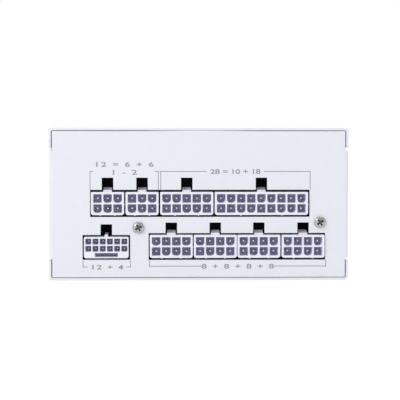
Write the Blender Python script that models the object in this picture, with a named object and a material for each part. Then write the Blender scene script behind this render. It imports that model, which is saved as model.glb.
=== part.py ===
"""Modular SFX power supply unit, 125 mm wide, 63.5 mm high and 100 mm deep.

Lengths below are in millimetres, and every mesh is written in metres. +X is to
the right as seen from the connector face, which looks along -Y. The mains face
looks along +Y and the fan side is +Z. The origin is the bottom centre of the
whole unit's box.
"""

import math

import bmesh
import bpy
from mathutils import Matrix, Vector

for old_object in list(bpy.data.objects):
    bpy.data.objects.remove(old_object, do_unlink=True)

MM = 0.001
CLEAR = 0.3

# Case
WIDTH = 125.0
DEPTH = 100.0
HEIGHT = 63.5
SHEET = 1.0
BEND = 1.5
FRONT_PROUD = 1.6
REAR_PROUD = 4.5
FRONT = (FRONT_PROUD - DEPTH - REAR_PROUD) / 2
REAR = FRONT + DEPTH
MIDDLE = (FRONT + REAR) / 2
SIDE = WIDTH / 2
FLANGE_TOP = 8.2
EAR_LOW = 9.3
EAR_HIGH = 54.0
EAR_LENGTH = 9.0
WALL_LOW = 8.5
TAB_LOW = 15.0
TAB_HIGH = 47.0
CORNER_LOW = 55.4
CORNER_GAP = 0.42
PANEL_HALF = SIDE - SHEET - CORNER_GAP
PANEL_TOP = HEIGHT - SHEET - CLEAR
EAR_SCREW_Z = 40.0
EAR_SCREW_IN = 4.8
MOUNT_X = 56.5
MOUNT_Z = (6.0, 57.5)

# Connector face
HEADER_PROUD = 0.8
HEADER_LENGTH = 12.8
PITCH = 4.2
HOUSING_HEIGHT = 9.6
HOUSING_EXTRA = 5.3
CAVITY = 3.6
CAVITY_DEPTH = 10.5
PIN = 1.07
UPPER_Z = 32.05
LOWER_Z = 14.15
GPU_X = -38.6
GPU_Z = 13.75
GPU_WIDTH = 18.55
GPU_HEIGHT = 8.85
GPU_PITCH = 3.0
GPU_CAVITY = 2.5
GPU_ROW_Z = (16.2, 13.2)
SENSE_Z = (9.75, 11.45)
SENSE_WIDTH = 9.6
CATCH_HALF = 1.8
CATCH_RISE = 1.9
GPU_CATCH_HALF = 0.7
GPU_CATCH_RISE = 1.5
NOTCH_HALF = 2.4
# Each window is left, right, low, high and the top of its notches.
UPPER_WINDOW = (-45.3, 46.2, 26.45, 37.75, 42.8)
LOWER_WINDOW = (-21.0, 52.8, 8.5, 19.7, 24.1)
GPU_WINDOW = (-48.5, -28.7, 8.6, 18.95, 23.4)
FACE_SCREWS = ((-25.2, 21.9), (50.6, 24.1))
BOARD_FRONT = FRONT - HEADER_PROUD + HEADER_LENGTH + CLEAR
BOARD_THICK = 1.6
HEADERS = (
    ("peripheral_header_1", -38.05, UPPER_Z, "SRR", "RRS"),
    ("peripheral_header_2", -23.7, UPPER_Z, "SRR", "RRS"),
    ("atx_header_10pin", -5.1, UPPER_Z, "RRSSR", "SSRRS"),
    ("atx_header_18pin", 26.05, UPPER_Z, "RRSSRRSSR", "SSRRSSRRS"),
    ("cpu_pcie_header_1", -11.55, LOWER_Z, "RSSR", "SRRS"),
    ("cpu_pcie_header_2", 6.8, LOWER_Z, "RSSR", "SRRS"),
    ("cpu_pcie_header_3", 25.0, LOWER_Z, "RSSR", "SRRS"),
    ("cpu_pcie_header_4", 43.5, LOWER_Z, "RSSR", "SRRS"),
)

# Fan
FAN_SIZE = 92.0
FAN_DEPTH = 15.0
FAN_HOLE = 41.25
FAN_BORE = 44.2
COVER_BORE = 44.0
GUARD_WIRE = 1.6
GUARD_OUTER = 42.6
GUARD_PITCH = 5.6
GUARD_TOP = HEIGHT - SHEET - CLEAR
FAN_TOP = GUARD_TOP - GUARD_WIRE - CLEAR
FAN_LOW = FAN_TOP - FAN_DEPTH
HUB = 18.0
BLADE_TIP = 43.0
BLADES = 9

# Main board
MAIN_LOW = 5.6
MAIN_TOP = MAIN_LOW + BOARD_THICK
MAIN_FRONT = BOARD_FRONT + BOARD_THICK + 0.7
MAIN_REAR = REAR - SHEET - 1.5
MAIN_HALF = 58.5
ON_BOARD = MAIN_TOP + CLEAR
BOARD_SCREWS = ((-54.0, MAIN_FRONT + 5), (54.0, MAIN_FRONT + 5), (-54.0, REAR - 9), (54.0, REAR - 9))

# Mains face
INLET_X = 40.0
INLET_Z = 24.0
SWITCH_X = 13.5
SWITCH_Z = 24.0
ROCKER_TILT = math.radians(8.0)
PIVOT_IN = 0.9
VENT_PITCH = 7.4
VENT_ACROSS = 6.2


# ---------------------------------------------------------------- mesh tools

def material(name, colour, roughness, metallic=0.0):
    """Return a Principled material."""
    made = bpy.data.materials.new(name)
    made.use_nodes = True
    shader = made.node_tree.nodes["Principled BSDF"]
    shader.inputs["Base Color"].default_value = (*colour, 1.0)
    shader.inputs["Roughness"].default_value = roughness
    shader.inputs["Metallic"].default_value = metallic
    made.diffuse_color = (*colour, 1.0)
    return made


PLACES = {
    "X": lambda u, v, w: (w, u, v),
    "Y": lambda u, v, w: (u, w, v),
    "Z": lambda u, v, w: (u, v, w),
}


def add_prism(bm, outline, low, high, axis):
    """Extrude a closed outline along an axis, from low to high.

    The outline is in (y, z) for X, in (x, z) for Y and in (x, y) for Z.
    """
    place = PLACES[axis]
    start = [bm.verts.new(place(u, v, low)) for u, v in outline]
    end = [bm.verts.new(place(u, v, high)) for u, v in outline]
    bm.faces.new(start)
    bm.faces.new(end)
    for i, vertex in enumerate(start):
        j = (i + 1) % len(start)
        bm.faces.new((vertex, start[j], end[j], end[i]))


def add_box(bm, x, y, z):
    """Add a box from three (low, high) pairs."""
    add_prism(bm, rectangle(x[0], x[1], y[0], y[1]), z[0], z[1], "Z")


def add_turned(bm, profile, segments, matrix=Matrix()):
    """Turn (radius, height) points about the local Z axis into a closed solid."""
    rings = []
    for radius, height in profile:
        if radius == 0:
            pole = Vector((0, 0, height))
            rings.append([bm.verts.new(matrix @ pole)])
            continue
        ring = []
        for k in range(segments):
            angle = math.tau * (k + 0.5) / segments
            point = Vector((radius * math.cos(angle), radius * math.sin(angle), height))
            ring.append(bm.verts.new(matrix @ point))
        rings.append(ring)
    for lower, upper in zip(rings, rings[1:]):
        for k in range(segments):
            j = (k + 1) % segments
            corners = [lower[k % len(lower)], lower[j % len(lower)]]
            corners += [upper[j % len(upper)], upper[k % len(upper)]]
            bm.faces.new(list(dict.fromkeys(corners)))


def add_tube(bm, inner, outer, low, high, segments, matrix=Matrix()):
    """Add a ring of rectangular section about the local Z axis."""
    corners = ((inner, low), (outer, low), (outer, high), (inner, high))
    rings = []
    for radius, height in corners:
        ring = []
        for k in range(segments):
            angle = math.tau * (k + 0.5) / segments
            point = Vector((radius * math.cos(angle), radius * math.sin(angle), height))
            ring.append(bm.verts.new(matrix @ point))
        rings.append(ring)
    for lower, upper in zip(rings, rings[1:] + rings[:1]):
        for k in range(segments):
            j = (k + 1) % segments
            bm.faces.new((lower[k], lower[j], upper[j], upper[k]))


def rectangle(u0, u1, v0, v1):
    """Return the four corners of a rectangle."""
    return [(u0, v0), (u1, v0), (u1, v1), (u0, v1)]


def chamfered(u0, u1, v0, v1, low, high=0.0):
    """Return a rectangle whose lower and upper corners are chamfered."""
    points = []
    points += [(u0, v0 + low), (u0 + low, v0), (u1 - low, v0), (u1, v0 + low)]
    if high:
        points += [(u1, v1 - high), (u1 - high, v1), (u0 + high, v1), (u0, v1 - high)]
    else:
        points += [(u1, v1), (u0, v1)]
    return points


def circle(u, v, radius, segments):
    """Return points round a circle."""
    points = []
    for k in range(segments):
        angle = math.tau * (k + 0.5) / segments
        points.append((u + radius * math.cos(angle), v + radius * math.sin(angle)))
    return points


def arc(u, v, radius, start, end, steps):
    """Return points along an arc, angles in degrees."""
    points = []
    for k in range(steps + 1):
        angle = math.radians(start + (end - start) * k / steps)
        points.append((u + radius * math.cos(angle), v + radius * math.sin(angle)))
    return points


def rounded(u0, u1, v0, v1, radius, steps=3):
    """Return a rectangle with round corners."""
    points = arc(u1 - radius, v1 - radius, radius, 0, 90, steps)
    points += arc(u0 + radius, v1 - radius, radius, 90, 180, steps)
    points += arc(u0 + radius, v0 + radius, radius, 180, 270, steps)
    points += arc(u1 - radius, v0 + radius, radius, 270, 360, steps)
    return points


def channel(half, leg, thick, bend, steps=3):
    """Return the section of a sheet folded into a U, its web at v = 0 and its legs up."""
    points = [(half, leg)]
    points += arc(half - bend, bend, bend, 360, 270, steps)
    points += arc(-half + bend, bend, bend, 270, 180, steps)
    points += [(-half, leg), (-half + thick, leg)]
    points += arc(-half + bend, bend, bend - thick, 180, 270, steps)
    points += arc(half - bend, bend, bend - thick, 270, 360, steps)
    points += [(half - thick, leg)]
    return points


def finish_mesh(bm, name):
    """Close the mesh's normals outward, scale it to metres and return it."""
    bmesh.ops.recalc_face_normals(bm, faces=bm.faces)
    bmesh.ops.transform(bm, matrix=Matrix.Scale(MM, 4), verts=bm.verts)
    mesh = bpy.data.meshes.new(name)
    bm.to_mesh(mesh)
    bm.free()
    return mesh


def add_object(name, bm, finish, smooth=0.0):
    """Make an object from a mesh in millimetres; smooth is the sharp angle in degrees."""
    made = bpy.data.objects.new(name, finish_mesh(bm, name))
    bpy.context.scene.collection.objects.link(made)
    made.data.materials.append(finish)
    if smooth:
        shade(made, smooth)
    return made


def shade(made, degrees):
    """Shade an object smooth, with edges sharper than the angle kept sharp."""
    made.data.shade_smooth()
    made.data.set_sharp_from_angle(angle=math.radians(degrees))


def combine(target, tool_bm, operation):
    """Cut a tool mesh from an object, or join it to the object, for good."""
    tool = bpy.data.objects.new("tool", finish_mesh(tool_bm, "tool"))
    bpy.context.scene.collection.objects.link(tool)
    modifier = target.modifiers.new("shape", "BOOLEAN")
    modifier.operation = operation
    modifier.solver = "EXACT"
    modifier.object = tool
    evaluated = target.evaluated_get(bpy.context.evaluated_depsgraph_get())
    shaped = bpy.data.meshes.new_from_object(evaluated)
    target.modifiers.clear()
    target.data = shaped
    bpy.data.objects.remove(tool, do_unlink=True)


def lift(made):
    """Return an object's mesh in millimetres and remove the object."""
    bm = bmesh.new()
    bm.from_mesh(made.data)
    bmesh.ops.transform(bm, matrix=Matrix.Scale(1 / MM, 4), verts=bm.verts)
    bpy.data.objects.remove(made, do_unlink=True)
    return bm


def cut(target, tool_bm):
    """Cut a tool mesh from an object."""
    combine(target, tool_bm, "DIFFERENCE")


def join(target, tool_bm):
    """Join a tool mesh to an object."""
    combine(target, tool_bm, "UNION")


def bevel(made, width, segments=2):
    """Round an object's edges with a Bevel modifier, width in millimetres."""
    modifier = made.modifiers.new("edges", "BEVEL")
    modifier.width = width * MM
    modifier.segments = segments
    modifier.limit_method = "ANGLE"
    modifier.angle_limit = math.radians(40)


def place(made, x, y, z, rotation=(0, 0, 0)):
    """Set an object's location in millimetres and its rotation."""
    made.location = Vector((x, y, z)) * MM
    made.rotation_euler = rotation


# ---------------------------------------------------------------- materials

WHITE_PAINT = material("white_paint", (0.83, 0.85, 0.88), 0.5)
WHITE_PLASTIC = material("white_plastic", (0.78, 0.80, 0.86), 0.4)
BLACK_PLASTIC = material("black_plastic", (0.02, 0.02, 0.022), 0.45)
BOARD_GREEN = material("board_laminate", (0.02, 0.025, 0.03), 0.4)
STEEL = material("nickel_steel", (0.62, 0.62, 0.60), 0.28, 1.0)
BRASS = material("brass", (0.72, 0.55, 0.25), 0.3, 1.0)
ALUMINIUM = material("aluminium", (0.72, 0.73, 0.75), 0.35, 1.0)
COPPER = material("tinned_copper", (0.75, 0.45, 0.28), 0.35, 1.0)
FERRITE = material("ferrite", (0.06, 0.06, 0.065), 0.6)
TAPE = material("winding_tape", (0.75, 0.60, 0.10), 0.5)
FILM_YELLOW = material("film_case", (0.80, 0.62, 0.08), 0.45)
SLEEVE = material("capacitor_sleeve", (0.03, 0.03, 0.05), 0.35)
EPOXY = material("epoxy", (0.03, 0.03, 0.03), 0.5)
MICA = material("insulation_film", (0.55, 0.52, 0.45), 0.5)
CERAMIC = material("ceramic", (0.80, 0.78, 0.72), 0.35)
WIRE_BROWN = material("brown_wire", (0.20, 0.08, 0.04), 0.5)
WIRE_BLUE = material("blue_wire", (0.04, 0.10, 0.35), 0.5)


# ---------------------------------------------------------------- case

def countersink(bm, matrix):
    """Add a cutter for a countersunk screw hole; the sheet's face is at local z = 0."""
    profile = ((0, -5), (1.8, -5), (1.8, -SHEET), (3.1, 0.02), (3.1, 1), (0, 1))
    add_turned(bm, profile, 12, matrix)


def ear_screw_places():
    """Return the four ear screws' side, y and outward direction."""
    places = []
    for end in (FRONT + EAR_SCREW_IN, REAR - EAR_SCREW_IN):
        for side in (-1, 1):
            places.append((side, end))
    return places


def outward(side):
    """Return the rotation that turns local +Z to the left or right."""
    return Matrix.Rotation(side * math.pi / 2, 4, "Y")


def corner_reliefs(bm, y0, y1):
    """Add cutters that free the panel's corners above and below its two ears."""
    for side in (-1, 1):
        x = sorted((side * PANEL_HALF, side * (SIDE + 1)))
        add_box(bm, x, (y0, y1), (-1, EAR_LOW))
        add_box(bm, x, (y0, y1), (EAR_HIGH, HEIGHT + 1))


def top_cover():
    """The cover's top and side walls, with the fan opening and joggled corner tabs."""
    bm = bmesh.new()
    section = [(u, HEIGHT - v) for u, v in channel(SIDE, HEIGHT - WALL_LOW, SHEET, BEND)]
    add_prism(bm, section, FRONT, REAR, "Y")
    cover = add_object("top_cover", bm, WHITE_PAINT)

    tabs = bmesh.new()
    for side in (-1, 1):
        for edge, way in ((FRONT, 1), (REAR, -1)):
            inner = PANEL_HALF - SHEET
            reach = edge + way * (EAR_LENGTH + 0.8)
            root = edge + way * (EAR_LENGTH + 4)
            start = edge + way * (SHEET + 0.6)
            plan = (
                (inner, start),
                (PANEL_HALF, start),
                (PANEL_HALF, reach),
                (SIDE - SHEET / 2, reach),
                (SIDE - SHEET / 2, root),
                (inner, root),
            )
            add_prism(tabs, [(side * u, v) for u, v in plan], TAB_LOW, TAB_HIGH, "Z")
    holes = bmesh.new()
    for side in (-1, 1):
        for edge, way in ((FRONT, 1), (REAR, -1)):
            x = sorted((side * (SIDE - SHEET - 0.1), side * (SIDE + 1)))
            y = sorted((edge - way, edge + way * (EAR_LENGTH + CLEAR)))
            add_box(holes, x, y, (WALL_LOW - 1, CORNER_LOW))
    add_prism(holes, circle(0, MIDDLE, COVER_BORE, 48), HEIGHT - 2, HEIGHT + 1, "Z")
    for x in (-FAN_HOLE, FAN_HOLE):
        for y in (-FAN_HOLE, FAN_HOLE):
            spot = Matrix.Translation((x, MIDDLE + y, HEIGHT))
            add_turned(holes, ((0, -2), (2.3, -2), (2.3, -SHEET), (4.2, 0.02), (4.2, 1), (0, 1)), 12, spot)
    cut(cover, holes)
    join(cover, tabs)
    screw_holes = bmesh.new()
    for side, y in ear_screw_places():
        turn = Matrix.Translation((side * SIDE, y, EAR_SCREW_Z)) @ outward(side)
        countersink(screw_holes, turn)
    cut(cover, screw_holes)


def hexagon(u, v, across):
    """Return a hexagon with two upright sides, sized across its flats."""
    radius = across / math.sqrt(3)
    return [(u + x, v + y) for x, y in circle(0, 0, radius, 6)]


def vent_places():
    """Return the centres of the mains face's honeycomb holes."""
    pitch = VENT_PITCH
    rise = pitch * math.sqrt(3) / 2
    places = []
    for row in range(-3, 4):
        z = HEIGHT / 2 + row * rise
        for column in range(-6, 7):
            x = (column + 0.5 * (row % 2)) * pitch
            near_inlet = INLET_X - 20 < x < INLET_X + 20 and z < INLET_Z + 16
            near_switch = SWITCH_X - 12 < x < INLET_X and z < SWITCH_Z + 15
            if abs(x) > 50 or near_inlet or near_switch:
                continue
            places.append((x, z))
    return places


def bottom_tray():
    """The floor with its side flanges, and the mains face with its ears, folded from one sheet."""
    bm = bmesh.new()
    add_prism(bm, channel(SIDE, FLANGE_TOP, SHEET, BEND), FRONT, REAR - SHEET / 2, "Y")
    tray = add_object("bottom_tray", bm, WHITE_PAINT)

    wall_bm = bmesh.new()
    plan = [(u, REAR - v) for u, v in channel(SIDE, EAR_LENGTH, SHEET, BEND)]
    add_prism(wall_bm, plan, 0, PANEL_TOP, "Z")
    wall = add_object("mains_wall", wall_bm, WHITE_PAINT)
    openings = bmesh.new()
    corner_reliefs(openings, REAR - EAR_LENGTH - 1, REAR + 1)
    for x, z in vent_places():
        add_prism(openings, hexagon(x, z, VENT_ACROSS), REAR - 3, REAR + 1, "Y")
    add_prism(openings, rectangle(INLET_X - 14.3, INLET_X + 14.3, INLET_Z - 10.8, INLET_Z + 10.8),
              REAR - 3, REAR + 1, "Y")
    add_prism(openings, rectangle(SWITCH_X - 6.8, SWITCH_X + 6.8, SWITCH_Z - 9.8, SWITCH_Z + 9.8),
              REAR - 3, REAR + 1, "Y")
    for x in (-MOUNT_X, MOUNT_X):
        for z in MOUNT_Z:
            add_prism(openings, circle(x, z, 1.6, 12), REAR - 3, REAR + 1, "Y")
    cut(wall, openings)
    join(tray, lift(wall))

    bosses = bmesh.new()
    boss_top = MAIN_LOW - CLEAR
    boss = ((0, SHEET / 2), (3.2, SHEET / 2), (2.8, boss_top), (0, boss_top))
    for x, y in BOARD_SCREWS:
        add_turned(bosses, boss, 14, Matrix.Translation((x, y, 0)))
    join(tray, bosses)
    holes = bmesh.new()
    for x, y in BOARD_SCREWS:
        add_prism(holes, circle(x, y, 1.6, 12), SHEET, MAIN_LOW + 1, "Z")
    for side, y in ear_screw_places()[2:]:
        turn = Matrix.Translation((side * SIDE, y, EAR_SCREW_Z)) @ outward(side)
        countersink(holes, turn)
    cut(tray, holes)


def window(sides, centres):
    """Return a connector window's outline with a latch notch over each header's centre."""
    left, right, low, high, notch_top = sides
    points = [(left, low), (right, low), (right, high)]
    for x in sorted(centres, reverse=True):
        notch_left = x - NOTCH_HALF
        notch_right = x + NOTCH_HALF
        points += [(notch_right, high), (notch_right, notch_top), (notch_left, notch_top), (notch_left, high)]
    points.append((left, high))
    return points


def front_panel():
    """The connector face, with its windows, notches, side ears and folded lips."""
    bm = bmesh.new()
    plan = [(u, FRONT + v) for u, v in channel(SIDE, EAR_LENGTH, SHEET, BEND)]
    add_prism(bm, plan, SHEET + CLEAR, PANEL_TOP, "Z")
    panel = add_object("front_panel", bm, WHITE_PAINT)
    lips = bmesh.new()
    add_box(lips, (-58, 58), (FRONT + SHEET / 2, FRONT + 4), (PANEL_TOP - SHEET - 0.1, PANEL_TOP - 0.1))
    low = SHEET + CLEAR + 0.1
    add_box(lips, (-58, 58), (FRONT + SHEET / 2, FRONT + 7), (low, low + SHEET))
    join(panel, lips)
    upper = [x for name, x, z, top, bottom in HEADERS if z == UPPER_Z]
    lower = [x for name, x, z, top, bottom in HEADERS if z == LOWER_Z]
    holes = bmesh.new()
    corner_reliefs(holes, FRONT - 1, FRONT + EAR_LENGTH + 1)
    back = FRONT + 2
    for sides, centres in ((UPPER_WINDOW, upper), (LOWER_WINDOW, lower), (GPU_WINDOW, [GPU_X])):
        add_prism(holes, window(sides, centres), FRONT - 1, back, "Y")
    for x, z in FACE_SCREWS:
        add_prism(holes, circle(x, z, 1.8, 14), FRONT - 1, back, "Y")
    for side, y in ear_screw_places()[:2]:
        turn = Matrix.Translation((side * SIDE, y, EAR_SCREW_Z)) @ outward(side)
        countersink(holes, turn)
    cut(panel, holes)


# ---------------------------------------------------------------- connectors

def cavity_outline(x, z, size, kind):
    """Return a terminal cavity: S is square, R has its two lower corners cut off."""
    half = size / 2
    if kind == "S":
        return rectangle(x - half, x + half, z - half, z + half)
    return chamfered(x - half, x + half, z - half, z + half, size * 0.25)


def header_terminals(x, z, columns):
    """Return the terminal centres of a two-row header, top row first."""
    left = x - (columns - 1) * PITCH / 2
    rows = []
    for row_z in (z + PITCH / 2, z - PITCH / 2):
        rows.append([(left + k * PITCH, row_z) for k in range(columns)])
    return rows


def add_catch(housing, face, high, x, half, rise):
    """Add the ramped ledge that a plug's latch snaps over."""
    catch = bmesh.new()
    wedge = ((face + 0.8, high - 0.5), (face + 0.8, high + 0.5), (face + 2.4, high + rise),
             (face + 5.6, high + rise), (face + 5.6, high - 0.5))
    add_prism(catch, wedge, x - half, x + half, "X")
    join(housing, catch)


def header(name, x, z, top_kinds, bottom_kinds):
    """A two-row power header with keyed cavities and a latch catch on top."""
    columns = len(top_kinds)
    half = ((columns - 1) * PITCH + HOUSING_EXTRA) / 2
    face = FRONT - HEADER_PROUD
    back = face + HEADER_LENGTH
    high = z + HOUSING_HEIGHT / 2
    low = z - HOUSING_HEIGHT / 2
    bm = bmesh.new()
    add_prism(bm, chamfered(x - half, x + half, low, high, 1.0, 0.3), face, back, "Y")
    housing = add_object(name, bm, WHITE_PLASTIC)
    add_catch(housing, face, high, x, CATCH_HALF, CATCH_RISE)
    cavities = bmesh.new()
    pin_holes = bmesh.new()
    floor = face + CAVITY_DEPTH
    for row, kinds in zip(header_terminals(x, z, columns), (top_kinds, bottom_kinds)):
        for (u, v), kind in zip(row, kinds):
            add_prism(cavities, cavity_outline(u, v, CAVITY, kind), face - 1, floor, "Y")
            hole = PIN / 2 + CLEAR
            add_prism(pin_holes, rectangle(u - hole, u + hole, v - hole, v + hole), floor - 1, back + 1, "Y")
    cut(housing, cavities)
    cut(housing, pin_holes)


def gpu_terminals():
    """Return the centres of the twelve power terminals of the 12+4 header."""
    left = GPU_X - 2.5 * GPU_PITCH
    return [(left + k * GPU_PITCH, z) for z in GPU_ROW_Z for k in range(6)]


def gpu_sense_pins():
    """Return the centres of the four sense pins."""
    z = (SENSE_Z[0] + SENSE_Z[1]) / 2
    return [(GPU_X + (k - 1.5) * 2.0, z) for k in range(4)]


def gpu_header():
    """The 12+4 header: twelve power cavities over one slot with four sense pins."""
    face = FRONT - HEADER_PROUD
    back = face + HEADER_LENGTH
    low = GPU_Z - GPU_HEIGHT / 2
    high = GPU_Z + GPU_HEIGHT / 2
    half = GPU_WIDTH / 2
    bm = bmesh.new()
    add_prism(bm, chamfered(GPU_X - half, GPU_X + half, low, high, 0.8, 0.4), face, back, "Y")
    housing = add_object("gpu_header_16pin", bm, WHITE_PLASTIC)
    add_catch(housing, face, high, GPU_X, GPU_CATCH_HALF, GPU_CATCH_RISE)
    floor = face + CAVITY_DEPTH
    cavities = bmesh.new()
    pin_holes = bmesh.new()
    half_cavity = GPU_CAVITY / 2
    for u, v in gpu_terminals():
        outline = chamfered(u - half_cavity, u + half_cavity, v - half_cavity, v + half_cavity, 0.4, 0.2)
        add_prism(cavities, outline, face - 1, floor, "Y")
        hole = 0.5 + CLEAR
        add_prism(pin_holes, rectangle(u - hole, u + hole, v - hole, v + hole), floor - 1, back + 1, "Y")
    slot = rectangle(GPU_X - SENSE_WIDTH / 2, GPU_X + SENSE_WIDTH / 2, *SENSE_Z)
    add_prism(cavities, slot, face - 1, floor, "Y")
    for u, v in gpu_sense_pins():
        add_prism(pin_holes, rectangle(u - 0.55, u + 0.55, v - 0.55, v + 0.55), floor - 1, back + 1, "Y")
    cut(housing, cavities)
    cut(housing, pin_holes)


def modular_board():
    """The upright connector board, with the headers' terminal pins soldered into it."""
    bm = bmesh.new()
    add_box(bm, (-53, 56), (BOARD_FRONT, BOARD_FRONT + BOARD_THICK), (8.3, 43.6))
    board = add_object("modular_board", bm, BOARD_GREEN)
    pins = bmesh.new()
    tip = FRONT - HEADER_PROUD + 3.2
    for name, x, z, top_kinds, bottom_kinds in HEADERS:
        for row in header_terminals(x, z, len(top_kinds)):
            for u, v in row:
                add_pin(pins, u, v, PIN / 2, tip)
    for u, v in gpu_terminals():
        add_pin(pins, u, v, 0.5, tip)
    for u, v in gpu_sense_pins():
        add_pin(pins, u, v, 0.25, tip)
    join(board, pins)


def add_pin(bm, x, z, half, tip):
    """Add one square terminal pin, rooted inside the board."""
    root = BOARD_FRONT + BOARD_THICK / 2
    add_prism(bm, rectangle(x - half, x + half, z - half, z + half), tip, root, "Y")


def modular_standoffs():
    """The two hexagonal spacers between the connector face and its board."""
    for index, (x, z) in enumerate(FACE_SCREWS, 1):
        bm = bmesh.new()
        add_prism(bm, hexagon(0, 0, 5.0), FRONT + SHEET + CLEAR, BOARD_FRONT - CLEAR, "Y")
        standoff = add_object(f"modular_standoff_{index}", bm, BRASS)
        bore = bmesh.new()
        add_prism(bore, circle(0, 0, 1.6, 12), FRONT, FRONT + 9, "Y")
        cut(standoff, bore)
        place(standoff, x, 0, z)


# ---------------------------------------------------------------- screws

def screw_mesh(name, profile, recess, finish):
    """Return a screw's mesh; its head's seat is at z = 0 and it points down.

    recess is a cross recess's reach, its half width and the head's top.
    """
    bm = bmesh.new()
    add_turned(bm, profile, 12)
    made = add_object(name, bm, finish)
    reach, half, top = recess
    cross = [(half, half), (half, reach), (-half, reach), (-half, half), (-reach, half), (-reach, -half),
             (-half, -half), (-half, -reach), (half, -reach), (half, -half), (reach, -half), (reach, half)]
    tool = bmesh.new()
    add_prism(tool, cross, top - 1.0, top + 1, "Z")
    cut(made, tool)
    shade(made, 35)
    mesh = made.data
    bpy.data.objects.remove(made, do_unlink=True)
    return mesh


def add_screw(name, mesh, x, y, z, rotation):
    """Place one screw that shares its type's mesh."""
    made = bpy.data.objects.new(name, mesh)
    bpy.context.scene.collection.objects.link(made)
    place(made, x, y, z, rotation)


def screws():
    """All the cross-recess screws: face, case, fan and board."""
    pan = ((0, -7), (1.45, -7), (1.45, 0), (2.45, 0), (2.1, 1.0), (0, 1.3))
    face_mesh = screw_mesh("face_screw", pan, (1.3, 0.3, 1.3), STEEL)
    for index, (x, z) in enumerate(FACE_SCREWS, 1):
        add_screw(f"face_screw_{index}", face_mesh, x, FRONT - CLEAR, z, (math.pi / 2, 0, 0))

    board_pan = ((0, -4), (1.3, -4), (1.3, 0), (2.6, 0), (2.2, 1.2), (0, 1.5))
    board_mesh = screw_mesh("board_screw", board_pan, (1.3, 0.3, 1.5), STEEL)
    for index, (x, y) in enumerate(BOARD_SCREWS, 1):
        add_screw(f"board_screw_{index}", board_mesh, x, y, ON_BOARD, (0, 0, 0))

    case_flat = ((0, -5), (1.45, -5), (1.45, -1.0), (2.7, 0), (0, 0))
    case_mesh = screw_mesh("case_screw", case_flat, (1.3, 0.3, 0.0), WHITE_PAINT)
    for index, (side, y) in enumerate(ear_screw_places(), 1):
        add_screw(f"case_screw_{index}", case_mesh, side * SIDE, y, EAR_SCREW_Z, (0, side * math.pi / 2, 0))

    fan_flat = ((0, -12), (1.9, -12), (1.9, -1.2), (3.8, 0), (0, 0))
    fan_mesh = screw_mesh("fan_screw", fan_flat, (1.9, 0.4, 0.0), BLACK_PLASTIC)
    index = 0
    for x in (-FAN_HOLE, FAN_HOLE):
        for y in (-FAN_HOLE, FAN_HOLE):
            index += 1
            add_screw(f"fan_screw_{index}", fan_mesh, x, MIDDLE + y, HEIGHT, (0, 0, 0))


# ---------------------------------------------------------------- fan

def fan_frame():
    """The 92 mm frame, with a round bore, four struts and the motor seat at the inner side."""
    bm = bmesh.new()
    half = FAN_SIZE / 2
    add_prism(bm, rounded(-half, half, -half, half, 5.0), 0, FAN_DEPTH, "Z")
    frame = add_object("fan_frame", bm, BLACK_PLASTIC)
    holes = bmesh.new()
    add_prism(holes, circle(0, 0, FAN_BORE, 48), -1, FAN_DEPTH + 1, "Z")
    for x in (-FAN_HOLE, FAN_HOLE):
        for y in (-FAN_HOLE, FAN_HOLE):
            add_prism(holes, circle(x, y, 2.3, 12), -1, FAN_DEPTH + 1, "Z")
    cut(frame, holes)
    seat = bmesh.new()
    add_prism(seat, circle(0, 0, HUB + 1, 32), 0, 1.6, "Z")
    seat_object = add_object("motor_seat", seat, BLACK_PLASTIC)
    strut = bmesh.new()
    add_prism(strut, rectangle(-FAN_BORE - 0.8, FAN_BORE + 0.8, -1.5, 1.5), 0.1, 1.5, "Z")
    join(seat_object, strut)
    strut = bmesh.new()
    add_prism(strut, rectangle(-1.5, 1.5, -FAN_BORE - 0.8, FAN_BORE + 0.8), 0.1, 1.5, "Z")
    join(seat_object, strut)
    tube = bmesh.new()
    add_prism(tube, circle(0, 0, 3.6, 20), 0.8, 9.0, "Z")
    join(seat_object, tube)
    bore = bmesh.new()
    add_prism(bore, circle(0, 0, 1.8, 12), 1.4, 12, "Z")
    cut(seat_object, bore)
    join(frame, lift(seat_object))
    place(frame, 0, MIDDLE, FAN_LOW)


def blade_section(radius, centre_angle, pitch, chord, low, camber):
    """Return one blade section as a closed ring of points on a cylinder."""
    steps = 3
    thick = 1.1
    upper = []
    lower = []
    for k in range(steps + 1):
        along = k / steps - 0.5
        bow = camber * (1 - 4 * along * along)
        angle = centre_angle + along * chord * math.cos(pitch) / radius
        height = low + along * chord * math.sin(pitch) + bow
        body = thick * (1 - 0.6 * abs(2 * along))
        upper.append((radius * math.cos(angle), radius * math.sin(angle), height + body / 2))
        lower.append((radius * math.cos(angle), radius * math.sin(angle), height - body / 2))
    return upper + lower[::-1]


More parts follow.
